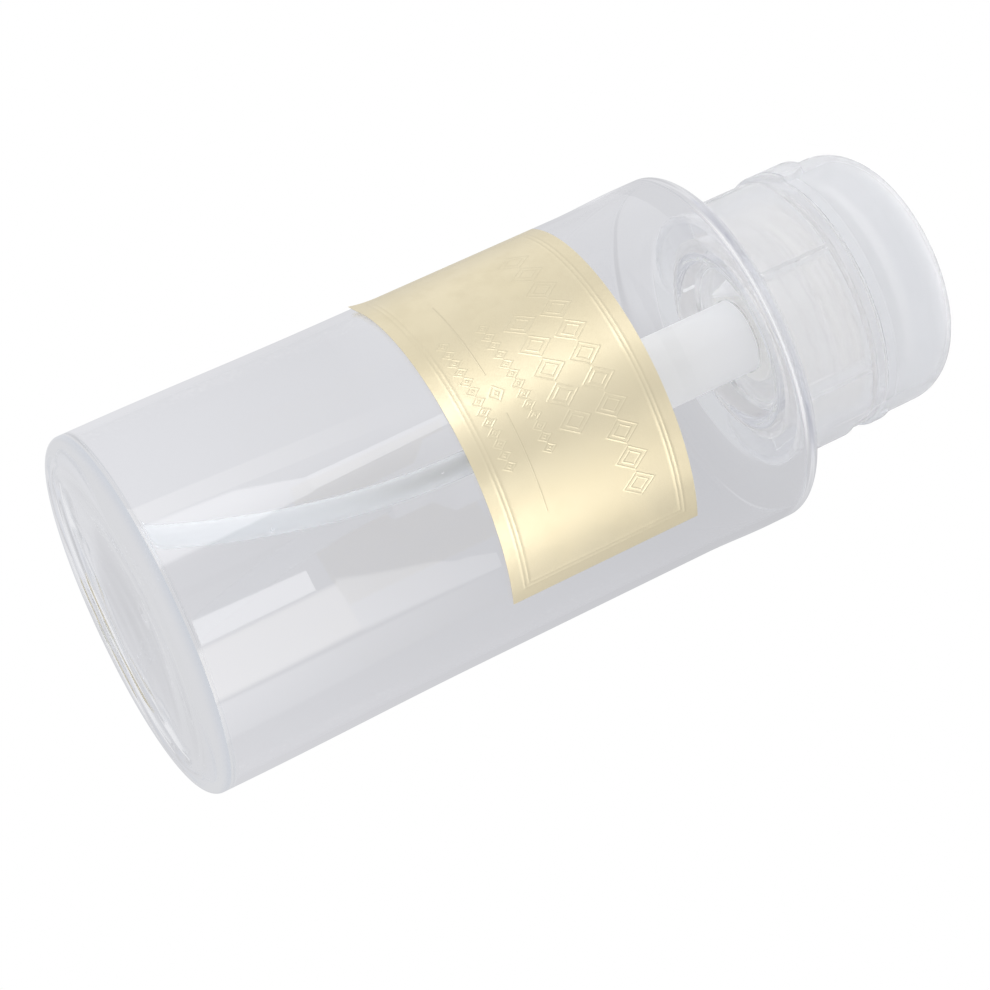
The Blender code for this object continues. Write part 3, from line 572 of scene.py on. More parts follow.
def punt_inside(radius):
    """Height of the foot's inner side."""
    return 1.6 + 3.1 * (1 - (radius / 25.1) ** 2) ** 2


wall_run = [(WALL_RADIUS - DRAW_IN * ease(step / 40), DRAW_IN_LOW + DRAW_IN_RUN * step / 40)
            for step in range(41)]
upper_run = [(WAIST_RADIUS + 0.4 * ease(step / 14), 90 + 12 * step / 14) for step in range(15)]
inner_upper_run = [(28.95 - 0.35 * ease(step / 14), 102 - 12 * step / 14) for step in range(15)]
inner_wall_run = [(28.6 + 0.4 * ease(step / 40), 46 - 38 * step / 40) for step in range(41)]
neck_run = [(NECK_RADIUS, 110.2 + 9.6 * step / 64) for step in range(65)]
bottle_outline = (
    curve(punt_outside, 0, 3.0, 10) + curve(punt_outside, 3.6, 24.6, 28)
    + bow(26.1, 2.3, 3.9, 2.3, -90, 0, 18) + [(WALL_RADIUS, 3.2)] + wall_run
    + [(WAIST_RADIUS, 47.0), (WAIST_RADIUS, 89.0)] + upper_run
    + bow(22.5, 105.7, 7.5, 3.4, 0, 90, 24) + bow(15.9, 109.9, 0.8, 0.8, 270, 180, 8)
    + neck_run + [(NECK_RADIUS, 120.3), (14.8, NECK_TOP), (14.1, NECK_TOP), (13.8, 120.3), (13.8, 110.0)]
    + bow(14.8, 109.7, 1.0, 0.9, 180, 250, 8)
    + bow(21.5, 104.7, 7.45, 3.4, 90, 0, 24)
    + inner_upper_run + [(28.6, 89.0), (28.6, 47.0)] + inner_wall_run + [(29.0, 5.0)]
    + bow(25.1, 3.9, 3.9, 2.3, 0, -90, 18) + curve(punt_inside, 25.1, 0, 30)[1:]
)
print("bottle outline:", len(bottle_outline), "points")

# %% Bottle with its thread
THREAD_PITCH = 4.23
THREAD_HEIGHT = 0.9
THREAD_START = 113.4
THREAD_TURNS = 1.3
ON_WALL = 0.02


def ridge(distance, crest, root):
    """Height share of a ridge with soft sides, at a distance from its middle line."""
    return ease(max(0.0, min(1.0, (root - abs(distance)) / (root - crest))))


def thread_share(place, start, turns, crest, root):
    """How far the thread stands out at a place on the neck, from 0 to 1."""
    angle = math.degrees(math.atan2(place.y, place.x)) % 360
    best = 0.0
    for lap in range(4):
        along = angle / 360 + lap
        if along > turns:
            continue
        fade = ease(min(1.0, along / 0.08)) * ease(min(1.0, (turns - along) / 0.08))
        middle = start + THREAD_PITCH * along
        best = max(best, fade * ridge(place.z / MM - middle, crest, root))
    return best


def raise_thread(piece, name, radius, low, high, start, crest, root, rise):
    """Raise a thread on the points of a round wall that stand between two heights."""
    group = piece.vertex_groups.new(name=name)
    for vertex in piece.data.vertices:
        place = vertex.co
        if abs(place.xy.length / MM - radius) < ON_WALL and low < place.z / MM < high:
            share = thread_share(place, start, THREAD_TURNS, crest, root)
            if share > 0:
                group.add([vertex.index], share, "REPLACE")
    push = piece.modifiers.new(name, "DISPLACE")
    push.vertex_group = name
    push.mid_level = 0
    push.strength = rise * MM
    apply_modifier(piece, push)


bottle = turn_body("bottle_shell", hold(bottle_outline), 192)
raise_thread(bottle, "thread", NECK_RADIUS, 110.2, 120.3, THREAD_START, 0.45, 1.15, THREAD_HEIGHT)
smooth(bottle)
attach(bottle, "bottle_body")
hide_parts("bottle")

# %% [markdown]
# The screw collar
#
# The collar has two walls. The inner skirt carries the thread, and six ribs hold the outer
# wall off it. A deck closes the top, and a low upstand guides the lid. At the back, half of
# a flat pad carries the hinge, and at the front a shallow scoop makes room for a thumb.

# %% Collar body with its inner thread
SKIRT_RADIUS = 16.75
INNER_THREAD_HEIGHT = 1.25

inner_skirt = [(SKIRT_RADIUS, 123.1 - 0.2 * step) for step in range(63)]
collar_outline = soften(
    [(22.25, 109.4), (22.25, 125.7), (20.4, 125.7), (20.4, 128.2), (19.7, 128.2), (19.7, 124.5),
     (14.3, 124.5), (14.3, 123.3), (SKIRT_RADIUS, 123.3)] + inner_skirt[1:]
    + [(SKIRT_RADIUS, 110.0), (18.15, 110.0), (18.15, 123.3), (20.85, 123.3), (20.85, 109.4)], 0.3)
collar = turn_body("screw_collar_shell", hold(collar_outline), 160)
raise_thread(collar, "inner_thread", SKIRT_RADIUS, 110.5, 122.9, THREAD_START + THREAD_PITCH / 2, 0.25, 0.85,
             INNER_THREAD_HEIGHT)

# %% Collar ribs
RIB_COUNT = 6
FIRST_RIB_ANGLE = -50.5


def add_block(name, low, high, rounding=0.0, segments=2):
    """A block between two corners in millimetres, with rounded edges."""
    start_fresh()
    centre = [(a + b) / 2 * MM for a, b in zip(low, high)]
    bpy.ops.mesh.primitive_cube_add(size=1, location=centre)
    block = bpy.context.object
    block.name = name
    block.scale = [(b - a) * MM for a, b in zip(low, high)]
    settle()
    if rounding:
        open_mesh()
        bpy.ops.mesh.bevel(offset=rounding * MM, segments=segments, affect="EDGES")
        bpy.ops.object.mode_set(mode="OBJECT")
    return block


for index in range(RIB_COUNT):
    rib = add_block("rib", (17.8, -0.4, 111.2), (21.2, 0.4, 123.9))
    rib.rotation_euler.z = math.radians(FIRST_RIB_ANGLE + 360 / RIB_COUNT * index)
    join_solids(collar, rib, "UNION")
print("collar with ribs:", len(collar.data.polygons), "faces")

# %% Thumb scoop
SCOOP_RADIUS = 21.7
SCOOP_FOOT_LENGTH = 14.5
SCOOP_TOP_LENGTH = 25.0
SCOOP_TOP = 126.7

scoop = add_block("scoop", (19.5, -SCOOP_FOOT_LENGTH / 2, 120.5), (25.5, SCOOP_FOOT_LENGTH / 2, SCOOP_TOP))
bpy.ops.object.mode_set(mode="EDIT")
shape = bmesh.from_edit_mesh(scoop.data)
for face in shape.faces:
    face.select_set(face.normal.z > 0.9)
bmesh.update_edit_mesh(scoop.data)
bpy.ops.transform.resize(value=(1, SCOOP_TOP_LENGTH / SCOOP_FOOT_LENGTH, 1),
                         center_override=(22.5 * MM, 0, SCOOP_TOP * MM))
bpy.ops.object.mode_set(mode="OBJECT")
join_solids(scoop, add_drum(SCOOP_RADIUS, 10, 123.6, 160), "DIFFERENCE")
join_solids(collar, scoop, "DIFFERENCE")

# %% Hinge pad on the collar
PAD_LENGTH = 21.0
PAD_HEIGHT = 6.8
PAD_MIDDLE = 127.2
HINGE_LINE = 125.85
HINGE_OUT = 22.85
HINGE_GAP = 0.15
PAD_EDGE = 0.3


def hinge_pad(name, above):
    """Half of a flat stadium that stands behind the cap, above or below the hinge line."""
    start_fresh()
    bpy.ops.mesh.primitive_cylinder_add(
        vertices=48, radius=PAD_HEIGHT / 2 * MM, depth=8 * MM, location=(-20 * MM, 0, PAD_MIDDLE * MM),
        rotation=(0, math.pi / 2, 0))
    pad = bpy.context.object
    pad.name = name
    settle()
    bpy.ops.object.mode_set(mode="EDIT")
    for side in (-1, 1):
        shape = bmesh.from_edit_mesh(pad.data)
        for vertex in shape.verts:
            vertex.select_set(vertex.co.y * side > 0.00001)
        shape.select_flush_mode()
        bmesh.update_edit_mesh(pad.data)
        bpy.ops.transform.translate(value=(0, side * (PAD_LENGTH - PAD_HEIGHT) / 2 * MM, 0))
    bpy.ops.mesh.select_all(action="SELECT")
    bpy.ops.mesh.bisect(plane_co=(0, 0, (HINGE_LINE + HINGE_GAP * (1 if above else -1)) * MM),
                        plane_no=(0, 0, 1), use_fill=True, clear_inner=above, clear_outer=not above)
    face_outward(pad)
    return pad


def trim_round(piece, inner, outer):
    """Keep only what stands between two radii, so a pad follows the cap's round wall."""
    join_solids(piece, add_drum(outer, 40, PAD_MIDDLE, 320), "INTERSECT")
    join_solids(piece, add_drum(inner, 40, PAD_MIDDLE, 320), "DIFFERENCE")


def soften_edges(piece, width):
    """Round the sharp edges of a piece with a Bevel modifier."""
    edge = piece.modifiers.new("edge", "BEVEL")
    edge.width = width * MM
    edge.segments = 3
    edge.limit_method = "ANGLE"
    edge.angle_limit = math.radians(50)
    apply_modifier(piece, edge)


lower_pad = hinge_pad("lower_pad", above=False)
trim_round(lower_pad, 21.4, HINGE_OUT)
soften_edges(lower_pad, PAD_EDGE)
join_solids(collar, lower_pad, "UNION")
smooth(collar)
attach(collar, "screw_collar")
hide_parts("collar")

# %% [markdown]
# The lid
#
# The lid is a low dome with a soft shoulder and a thin band where it meets the collar. A
# short ring inside presses on the outlet and seals it. A thumb lip stands out at the front.

# %% Lid body
LID_TOP = 141.5
LID_CEILING = 140.4
LID_FOOT = 126.0
LID_BOW_CENTRE = (15.1, 134.8)

lid_band = soften([(21.95, LID_FOOT), (21.95, 127.6), (21.8, 127.9)], 0.15, ring=False)
lid_outline = lid_band + bow(*LID_BOW_CENTRE, 6.7, 6.7, 0, 90, 20) + [(8, LID_TOP), (0, LID_TOP)]
seal_ring = [(0, LID_CEILING), (3.9, LID_CEILING), (4.0, 140.3), (4.0, 132.4), (4.15, 132.24),
             (4.85, 132.24), (5.0, 132.4), (5.0, 140.3), (5.1, LID_CEILING)]
lid_inside = seal_ring + bow(*LID_BOW_CENTRE, 5.6, 5.6, 90, 0, 16) + [(20.7, LID_FOOT), (21.95, LID_FOOT)]
lid = turn_body("flip_lid_shell", hold(lid_outline + lid_inside), 160)
upper_pad = hinge_pad("upper_pad", above=True)
trim_round(upper_pad, 21.2, HINGE_OUT)
soften_edges(upper_pad, PAD_EDGE)
join_solids(lid, upper_pad, "UNION")

# %% Thumb lip
lip = add_block("lip", (19.5, -6.5, 126.0), (22.9, 6.5, 127.5), 0.35, 3)
trim_round(lip, 21.2, 22.3)
join_solids(lid, lip, "UNION")
smooth(lid)
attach(lid, "flip_lid")
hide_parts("lid")

# %% [markdown]
# The hinge film
#
# Lid and collar are one moulding. Between the halves of the pad the plastic is pressed to a
# thin film, which bends. The film crosses the joint, so it rides on neither body, and it is
# cut into thin levels across its height.

# %% Hinge film
FILM_LOW = 125.4
FILM_STEP = 0.1
FILM_LEVELS = 9

film = add_block("hinge_film", (-24, -8.6, FILM_LOW), (-19, 8.6, FILM_LOW + FILM_STEP * FILM_LEVELS))
trim_round(film, 22.4, 22.65)
pick(film)
bpy.ops.object.mode_set(mode="EDIT")
for level in range(1, FILM_LEVELS):
    bpy.ops.mesh.select_all(action="SELECT")
    bpy.ops.mesh.bisect(plane_co=(0, 0, (FILM_LOW + FILM_STEP * level) * MM), plane_no=(0, 0, 1))
bpy.ops.object.mode_set(mode="OBJECT")
smooth(film)
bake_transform(film)

# %% [markdown]
# The well, the barrel and the dish
#
# The well hangs in the neck and holds the barrel. Under its floor is a drop-shaped boss, where
# the moulded part was fed and where air comes back in. The barrel is the white tube in the
# middle of the bottle. The dish is what a cotton pad presses.

# %% Well insert
WELL_HOLE = 6.3

well_outline = soften(
    [(WELL_HOLE, 111.2)] + bow(12.6, 111.9, 0.7, 0.7, -90, 0, 8) + [
        (13.3, 122.0), (15.7, 122.0), (15.7, 123.0), (12.1, 123.0), (12.1, 112.7), (11.8, 112.4),
        (WELL_HOLE, 112.4)], 0.25)
well = turn_body("well_cup", hold(well_outline), 128)
smooth(well)
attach(well, "pump")
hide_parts("well_insert")

# %% Vent boss
BOSS_RADIUS = 11.0
BOSS_ANGLE = math.radians(-134)

tail_run = [(0.4 + 1.5 * share / 6, 107.2 + 4.2 * share / 6) for share in range(1, 6)]
boss_outline = ([(0, 106.8), (0.3, 106.9), (0.4, 107.2)] + tail_run
                + bow(0, 112.6, 2.25, 2.25, -33, 84, 14) + [(0, 114.85)])
boss = turn_body("vent_boss", boss_outline, 48)
boss.location = (BOSS_RADIUS * MM * math.cos(BOSS_ANGLE), BOSS_RADIUS * MM * math.sin(BOSS_ANGLE), 0)
pick(boss)
settle()
smooth(boss)
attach(boss, "pump")

# %% Pump barrel
barrel_outline = soften(
    [(5.4, 116.9), (5.4, 72.7), (1.1, 72.7), (1.1, 71.9), (2.1, 71.9), (2.1, 68.3), (1.0, 67.0),
     (1.0, 66.0), (2.3, 66.0), (2.3, 61.0), (3.4, 61.0), (3.4, 68.7), (6.25, 71.9), (6.25, 112.7),
     (8.35, 112.7), (8.35, 113.9), (6.25, 113.9), (6.25, 116.9)], 0.25)
barrel = turn_body("pump_barrel", hold(barrel_outline), 96)
smooth(barrel)
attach(barrel, "pump")
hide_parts("pump_housing")

# %% Dish and outlet
dish_outline = soften(
    [(3.3, 124.5), (3.3, 127.6)] + bow(5.3, 132.4, 5.2, 4.8, 270, 350, 14) + [(11.05, 132.68), (16.0, 132.95)]
    + bow(17.65, 133.0, 0.55, 0.3, 180, 0, 8) + [(18.2, 132.9), (18.2, 131.3)]
    + bow(4.9, 131.3, 6.7, 4.8, 0, -90, 14), 0.15)
dish = turn_body("pad_dish", hold(dish_outline), 128)
smooth(dish)
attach(dish, "plunger")
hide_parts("dish")

# %% [markdown]
# The dip tube
#
# An extruded tube keeps the curl of its coil, so it sways toward the heel. It is a curve with
# a round section, turned into a mesh, and Solidify gives it its wall.

# %% Dip tube
TUBE_SWAY = -11.2
TUBE_RADIUS = 2.0
SOCKET_FOOT = 61.0
TUBE_DROP = 55.0
TUBE_STEPS = 14


def sweep_wire(name, places, radius, roundness, capped=False):
    """A round wire along places in millimetres, as a mesh."""
    start_fresh()
    bpy.ops.curve.primitive_nurbs_path_add()
    wire = bpy.context.object
    wire.name = name
    wire.data.splines.clear()
    route = wire.data.splines.new("POLY")
    route.points.add(len(places) - 1)
    for point, place in zip(route.points, places):
        point.co = (*(part * MM for part in place), 1)
    wire.data.bevel_depth = radius * MM
    wire.data.bevel_resolution = roundness
    wire.data.use_fill_caps = capped
    bpy.ops.object.convert(target="MESH")
    return bpy.context.object


places = [(0, 0, 65.7), (0, 0, 63.5), (0, 0, SOCKET_FOOT)]
for step in range(1, TUBE_STEPS + 1):
    share = step / TUBE_STEPS
    places.append((TUBE_SWAY * share * share, 0, SOCKET_FOOT - TUBE_DROP * share))
tube = sweep_wire("dip_tube_swept", places, TUBE_RADIUS, 8)
wall = tube.modifiers.new("wall", "SOLIDIFY")
wall.thickness = 0.6 * MM
wall.offset = -1
apply_modifier(tube, wall)
face_outward(tube)
smooth(tube)
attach(tube, "pump")
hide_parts("dip_tube")

# %% [markdown]
# The return spring
#
# A pump spring is wound with open coils and a closed coil at each end. In use its upper end
# goes down with the plunger while its lower end stays, so it is squashed along its axis. Here
# it is drawn at rest and rides with the pump.

# %% Spring wire
SPRING_RADIUS = 4.4
WIRE_RADIUS = 0.4
SPRING_LOW = 73.4
SPRING_HIGH = 105.9
COILS = 10
POINTS_PER_COIL = 36
CLOSED_TURN = 0.85
END_RISE = 0.85
END_SHARE = 0.95

places = []
for index in range(COILS * POINTS_PER_COIL + 1):
    coil = index / POINTS_PER_COIL
    angle = coil * math.tau
    open_share = min(1.0, max(0.0, (coil - CLOSED_TURN) / (COILS - 2 * CLOSED_TURN)))
    closed = END_SHARE * (min(coil, CLOSED_TURN) - min(COILS - coil, CLOSED_TURN) + CLOSED_TURN)
    open_rise = SPRING_HIGH - SPRING_LOW - 2 * END_RISE * END_SHARE * CLOSED_TURN
    height = SPRING_LOW + closed * END_RISE + open_rise * open_share
    places.append((SPRING_RADIUS * math.cos(angle), SPRING_RADIUS * math.sin(angle), height))
spring = sweep_wire("return_spring_wire", places, WIRE_RADIUS, 4, capped=True)
smooth(spring, math.radians(60))
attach(spring, "pump")
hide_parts("return_spring")
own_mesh(spring)
print("spring from %.1f to %.1f mm" % (spring.bound_box[0][2] / MM, spring.bound_box[6][2] / MM))

# %% [markdown]
# The gold label
#
# The label is a strip of foil on the sunk waist. It is drawn flat first, as a grid whose lines
# follow the pressed frame, then the frame's points are raised, and last the strip is wrapped
# round the bottle.

# %% Label strip
LABEL_LENGTH = 66.2
LABEL_LOW = 51.5
LABEL_HIGH = 84.5
LABEL_MIDDLE_ANGLE = -105.6
LABEL_RADIUS = 29.92
FOIL_THICKNESS = 0.08
FRAME_LINES = (2.25, 3.0)
LINE_HALF_WIDTH = 0.12
LINE_RISE = 0.018


def stations(length, spacing, marks):
    """Grid lines along a length: evenly spaced ones, and the marks themselves."""
    lines = [length * step / round(length / spacing) for step in range(round(length / spacing) + 1)]
    lines = [line for line in lines if all(abs(line - mark) > 0.1 for mark in marks)]
    return sorted(lines + list(marks))


def frame_marks(length):
    """Where the sides and crests of the frame's two pressed lines cross a length."""
    near_end = [line + share * LINE_HALF_WIDTH for line in FRAME_LINES for share in (-1, 0, 1)]
    return near_end + [length - mark for mark in near_end]


across = stations(LABEL_LENGTH, 0.9, frame_marks(LABEL_LENGTH))
upward = stations(LABEL_HIGH - LABEL_LOW, 0.9, frame_marks(LABEL_HIGH - LABEL_LOW))
label = start_point("foil_label", (0, 0, LABEL_LOW * MM))
for here, there in zip(across, across[1:]):
    bpy.ops.mesh.extrude_region_move(TRANSFORM_OT_translate={"value": ((there - here) * MM, 0, 0)})
bpy.ops.mesh.select_all(action="SELECT")
for here, there in zip(upward, upward[1:]):
    bpy.ops.mesh.extrude_region_move(TRANSFORM_OT_translate={"value": (0, 0, (there - here) * MM)})
bpy.ops.object.mode_set(mode="OBJECT")
print("label grid:", len(across), "by", len(upward))

# %% Pressed frame, lifted corner and wrap
CORNER_LIFT = 0.5
CORNER_REACH = 5.0


def frame_share(x, z):
    """Height share of the pressed frame at a place on the flat label, in millimetres."""
    from_edge = min(x, LABEL_LENGTH - x, z, LABEL_HIGH - LABEL_LOW - z)
    return max(ridge(from_edge - line, 0.0, LINE_HALF_WIDTH) for line in FRAME_LINES)


for vertex in label.data.vertices:
    x = vertex.co.x / MM
    z = vertex.co.z / MM - LABEL_LOW
    rise = LINE_RISE * frame_share(x, z)
    corner = max(0.0, 1 - (x + z) / CORNER_REACH)
    radius = (LABEL_RADIUS + rise + CORNER_LIFT * corner * corner) * MM
    angle = math.radians(LABEL_MIDDLE_ANGLE) + (x - LABEL_LENGTH / 2) / LABEL_RADIUS
    vertex.co = (radius * math.cos(angle), radius * math.sin(angle), vertex.co.z)
face_outward(label)
middle_face = min(label.data.polygons, key=lambda face: face.center.y)
if middle_face.normal.y > 0:
    label.data.flip_normals()
foil = label.modifiers.new("foil", "SOLIDIFY")
foil.thickness = FOIL_THICKNESS * MM
foil.offset = -1
apply_modifier(label, foil)
smooth(label, math.radians(50))
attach(label, "bottle_body")
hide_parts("label")

# %% [markdown]
# Plastic, foil and steel
#
# One node group gives the marks that every moulded surface shares: slow waves from cooling,
# a fine grain and rubbed spots. Each material places it with its own values.

# %% Moulding marks group
def noise(tree, place, scale, detail, roughness):
    """A soft noise over a piece's own coordinates."""
    node = add_node(tree, "ShaderNodeTexNoise", values={"Detail": detail, "Roughness": roughness})
    link_or_set(tree, node.inputs["Vector"], place)
    link_or_set(tree, node.inputs["Scale"], scale)
    return node.outputs["Fac"]


def open_group(name, numbers, results):
    """A node group with its number inputs and results, and the sockets inside it."""
    group = bpy.data.node_groups.new(name, "ShaderNodeTree")
    for socket_name, value in numbers:
        socket = group.interface.new_socket(socket_name, in_out="INPUT", socket_type="NodeSocketFloat")
        socket.default_value = value
    for socket_name in results:
        group.interface.new_socket(socket_name, in_out="OUTPUT", socket_type="NodeSocketFloat")
    return group


def build_moulding_marks():
    """Height, rub and tone of a moulded plastic surface, from its own coordinates."""
    group = open_group("moulding_marks", (("Wave Size", 60.0), ("Grain Size", 3000.0), ("Wave Depth", 1.0),
                                          ("Grain Depth", 0.1)), ("Height", "Rub", "Tone"))
    group.interface.new_socket("Position", in_out="INPUT", socket_type="NodeSocketVector")
    given = group.nodes.new("NodeGroupInput").outputs
    result = group.nodes.new("NodeGroupOutput").inputs
    waves = noise(group, given["Position"], given["Wave Size"], 2.0, 0.4)
    grain = noise(group, given["Position"], given["Grain Size"], 3.0, 0.6)
    rubs = noise(group, given["Position"], 220.0, 6.0, 0.7)
    height = maths(group, "ADD", maths(group, "MULTIPLY", waves, given["Wave Depth"]),
                   maths(group, "MULTIPLY", grain, given["Grain Depth"]))
    wire_up(group,
            (height, result["Height"]),
            (ramp(group, rubs, 0.45, 0.72), result["Rub"]),
            (waves, result["Tone"]))
    return group


moulding_marks = build_moulding_marks()
print("marks group:", len(moulding_marks.nodes), "nodes")


# %% Surfaces from one recipe
def marked_surface(name, tones, gloss, marks, bump, distance=0.0002):
    """A material whose colour, gloss and relief vary with the moulding marks.

    The tones are two colours, the gloss is the roughness of fresh and rubbed spots, and the
    marks are the sizes of waves and grain and the depths of both.
    """
    tree = new_material(name).node_tree
    shader = tree.nodes["Principled BSDF"]
    values = dict(zip(("Wave Size", "Grain Size", "Wave Depth", "Grain Depth"), marks))
    laid = add_node(tree, "ShaderNodeGroup", {"node_tree": moulding_marks}, values)
    relief = add_node(tree, "ShaderNodeBump", values={"Strength": bump, "Distance": distance})
    wire_up(tree,
            (own_place(tree), laid.inputs["Position"]),
            (mix_tones(tree, laid.outputs["Tone"], *tones), shader.inputs["Base Color"]),
            (ramp(tree, laid.outputs["Rub"], 0.0, 1.0, *gloss), shader.inputs["Roughness"]),
            (laid.outputs["Height"], relief.inputs["Height"]),
            (relief.outputs["Normal"], shader.inputs["Normal"]))
    return tree, shader, relief


def own_place(tree):
    """A piece's own coordinates."""
    return add_node(tree, "ShaderNodeTexCoord").outputs["Object"]


def own_height(tree):
    """Height in a piece's own coordinates."""
    return upward_part(tree, own_place(tree))


def off_axis(tree):
    """Distance from the bottle's axis."""
    return vector_maths(tree, "LENGTH", vector_maths(tree, "MULTIPLY", own_place(tree), (1, 1, 0)))


def let_light_through(tree, tint, patience):
    """Let lamp rays, scattered rays and rays that bounced too often pass a clear wall straight."""
    shader, output = tree.nodes["Principled BSDF"], tree.nodes["Material Output"]
    rays = add_node(tree, "ShaderNodeLightPath").outputs
    either = maths(tree, "MAXIMUM", rays["Is Shadow Ray"], rays["Is Diffuse Ray"])
    straight = maths(tree, "MAXIMUM", either, maths(tree, "GREATER_THAN", rays["Ray Depth"], patience))
    clear = add_node(tree, "ShaderNodeBsdfTransparent", values={"Color": (*tint, 1)})
    mixed = mix_shaders(tree, straight, shader.outputs["BSDF"], clear.outputs["BSDF"])
    tree.links.new(mixed, output.inputs["Surface"])


def tint_surface(tree, share, colour):
    """Mix a colour into a surface's own colour, by a share from the same tree."""
    base = tree.nodes["Principled BSDF"].inputs["Base Color"]
    tree.links.new(mix_tones(tree, share, base.links[0].from_socket, colour), base)


# %% Blown foot, with a painted heel line
FOOT_STRETCH = (0.5, 1.6, 1)
HEEL_TOP = 2.75
HEEL_FADE = 1.0
# The heel colour is a painted reflection: a dark bluish line in the clear wall where something dark would be
# mirrored.
HEEL_PAINTED_SHADE = (0.80, 0.85, 0.93)


def wave_foot(tree):
    """Slow waves that blowing leaves in the foot, over the finer marks of the wall."""
    shader = tree.nodes["Principled BSDF"]
    stretched = vector_maths(tree, "MULTIPLY", own_place(tree), FOOT_STRETCH)
    low = ramp(tree, own_height(tree), 6.0 * MM, 4.8 * MM, soft=True)
    inner = ramp(tree, off_axis(tree), 23.0 * MM, 16.0 * MM, soft=True)
    waves = noise(tree, stretched, 75.0, 1.0, 0.5)
    height = maths(tree, "MULTIPLY", maths(tree, "MULTIPLY", low, inner), waves)
    relief = add_node(tree, "ShaderNodeBump", values={"Strength": 1.0, "Distance": 0.0004})
    wire_up(tree,
            (height, relief.inputs["Height"]),
            (shader.inputs["Normal"].links[0].from_socket, relief.inputs["Normal"]),
            (relief.outputs["Normal"], shader.inputs["Normal"]))


def painted_heel_shade_band(tree):
    """Where a painted dark bluish line lies, at the turn from the wall to the foot: a painted reflection of
    something dark.
    """
    height = own_height(tree)
    below = ramp(tree, height, HEEL_TOP * MM, (HEEL_TOP - 0.2) * MM, soft=True)
    above = ramp(tree, height, HEEL_FADE * MM, (HEEL_TOP - 0.2) * MM, soft=True)
    rim = ramp(tree, off_axis(tree), 26.0 * MM, 28.5 * MM)
    return maths(tree, "MULTIPLY", maths(tree, "MULTIPLY", below, above), rim)


# %% [markdown]
# The plastics
#
# One table holds them all. A row gives the two tones, the roughness of fresh and of rubbed
# spots, the transmission, the refractive index, the marks, the strength of their relief, and,
# for walls that light passes, the tint of that light and how many bounces a ray may make.

# %% Plastics of the pieces
PLASTICS = {
    "clear_blown_plastic": (((0.99, 0.992, 0.996), (0.996, 0.997, 1.0)), (0.0, 0.006), 1.0, 1.57,
                            (45.0, 1500.0, 0.5, 0.0005), 0.15, ((0.985, 0.988, 0.99), 7)),
    "milky_cap_plastic": (((0.935, 0.938, 0.948), (0.948, 0.950, 0.958)), (0.17, 0.23), 0.76, 1.45,
                          (80.0, 3500.0, 0.5, 0.02), 0.2, ((0.968, 0.970, 0.98), 5)),
    # The lid's row is the cap's plastic made darker and less clear: painted shade, since lid and collar are
    # one moulding.
    "milky_lid_shaded_plastic": (((0.905, 0.912, 0.926), (0.918, 0.924, 0.936)), (0.20, 0.26), 0.70, 1.45,
                          (80.0, 3500.0, 0.5, 0.02), 0.2, ((0.968, 0.970, 0.98), 5)),
    "natural_well_plastic": (((0.985, 0.984, 0.978), (0.992, 0.99, 0.985)), (0.08, 0.12), 0.86, 1.45,
                             (80.0, 3500.0, 0.4, 0.01), 0.15, ((0.98, 0.98, 0.978), 6)),
    "milky_boss_plastic": (((0.975, 0.975, 0.985), (0.985, 0.985, 0.99)), (0.2, 0.26), 0.45, 1.4,
                           (80.0, 3500.0, 0.4, 0.02), 0.15, ((0.968, 0.970, 0.98), 5)),
    "milky_tube_plastic": (((0.915, 0.925, 0.945), (0.93, 0.938, 0.955)), (0.22, 0.28), 0.62, 1.40,
                           (120.0, 3000.0, 0.3, 0.02), 0.15, ((0.93, 0.95, 0.97), 8)),
    "white_barrel_plastic": (((0.90, 0.90, 0.905), (0.93, 0.93, 0.933)), (0.32, 0.42), 0.0, 1.5,
                             (90.0, 3000.0, 0.5, 0.05), 0.2, None),
    "milky_dish_plastic": (((0.91, 0.915, 0.925), (0.935, 0.938, 0.945)), (0.3, 0.42), 0.1, 1.5,
                           (90.0, 3000.0, 0.5, 0.02), 0.2, None),
    "soft_seal_plastic": (((0.83, 0.84, 0.84), (0.88, 0.88, 0.87)), (0.45, 0.6), 0.0, 1.5,
                          (150.0, 4000.0, 0.4, 0.2), 0.3, None),
    "foam_gasket_plastic": (((0.82, 0.82, 0.80), (0.90, 0.90, 0.88)), (0.7, 0.85), 0.0, 1.45,
                            (900.0, 5000.0, 1.0, 0.5), 0.8, None),
    "valve_ball_glass": (((0.96, 0.98, 0.97), (0.98, 0.99, 0.98)), (0.01, 0.05), 1.0, 1.52,
                         (90.0, 3000.0, 0.2, 0.02), 0.1, None),
}
SKIRT_TINT = (0.965, 0.95, 0.928)

for name, (tones, gloss, transmission, ior, marks, bump, light) in PLASTICS.items():
    tree, shader, relief = marked_surface(name, tones, gloss, marks, bump)
    shader.inputs["Transmission Weight"].default_value = transmission
    shader.inputs["IOR"].default_value = ior
    if light:
        let_light_through(tree, *light)
tree = bpy.data.materials["clear_blown_plastic"].node_tree
# Painted reflection: the heel band darkens the clear wall's colour to a bluish line.
tint_surface(tree, painted_heel_shade_band(tree), HEEL_PAINTED_SHADE)
wave_foot(tree)
tree = bpy.data.materials["milky_cap_plastic"].node_tree
tint_surface(tree, ramp(tree, off_axis(tree), 18.3 * MM, 19.0 * MM, 1.0, 0.0), SKIRT_TINT)
print("plastics:", len(PLASTICS))

# %% [markdown]
# Gold foil
#
# The printed words of the picture aren't copied. Their place has plain pressed rows instead:
# lozenges where the large words stand, small ones for the lines below, and two thin rules. One
# node group draws a row, from the place along and up the label in millimetres, and the label's
# material places it five times.

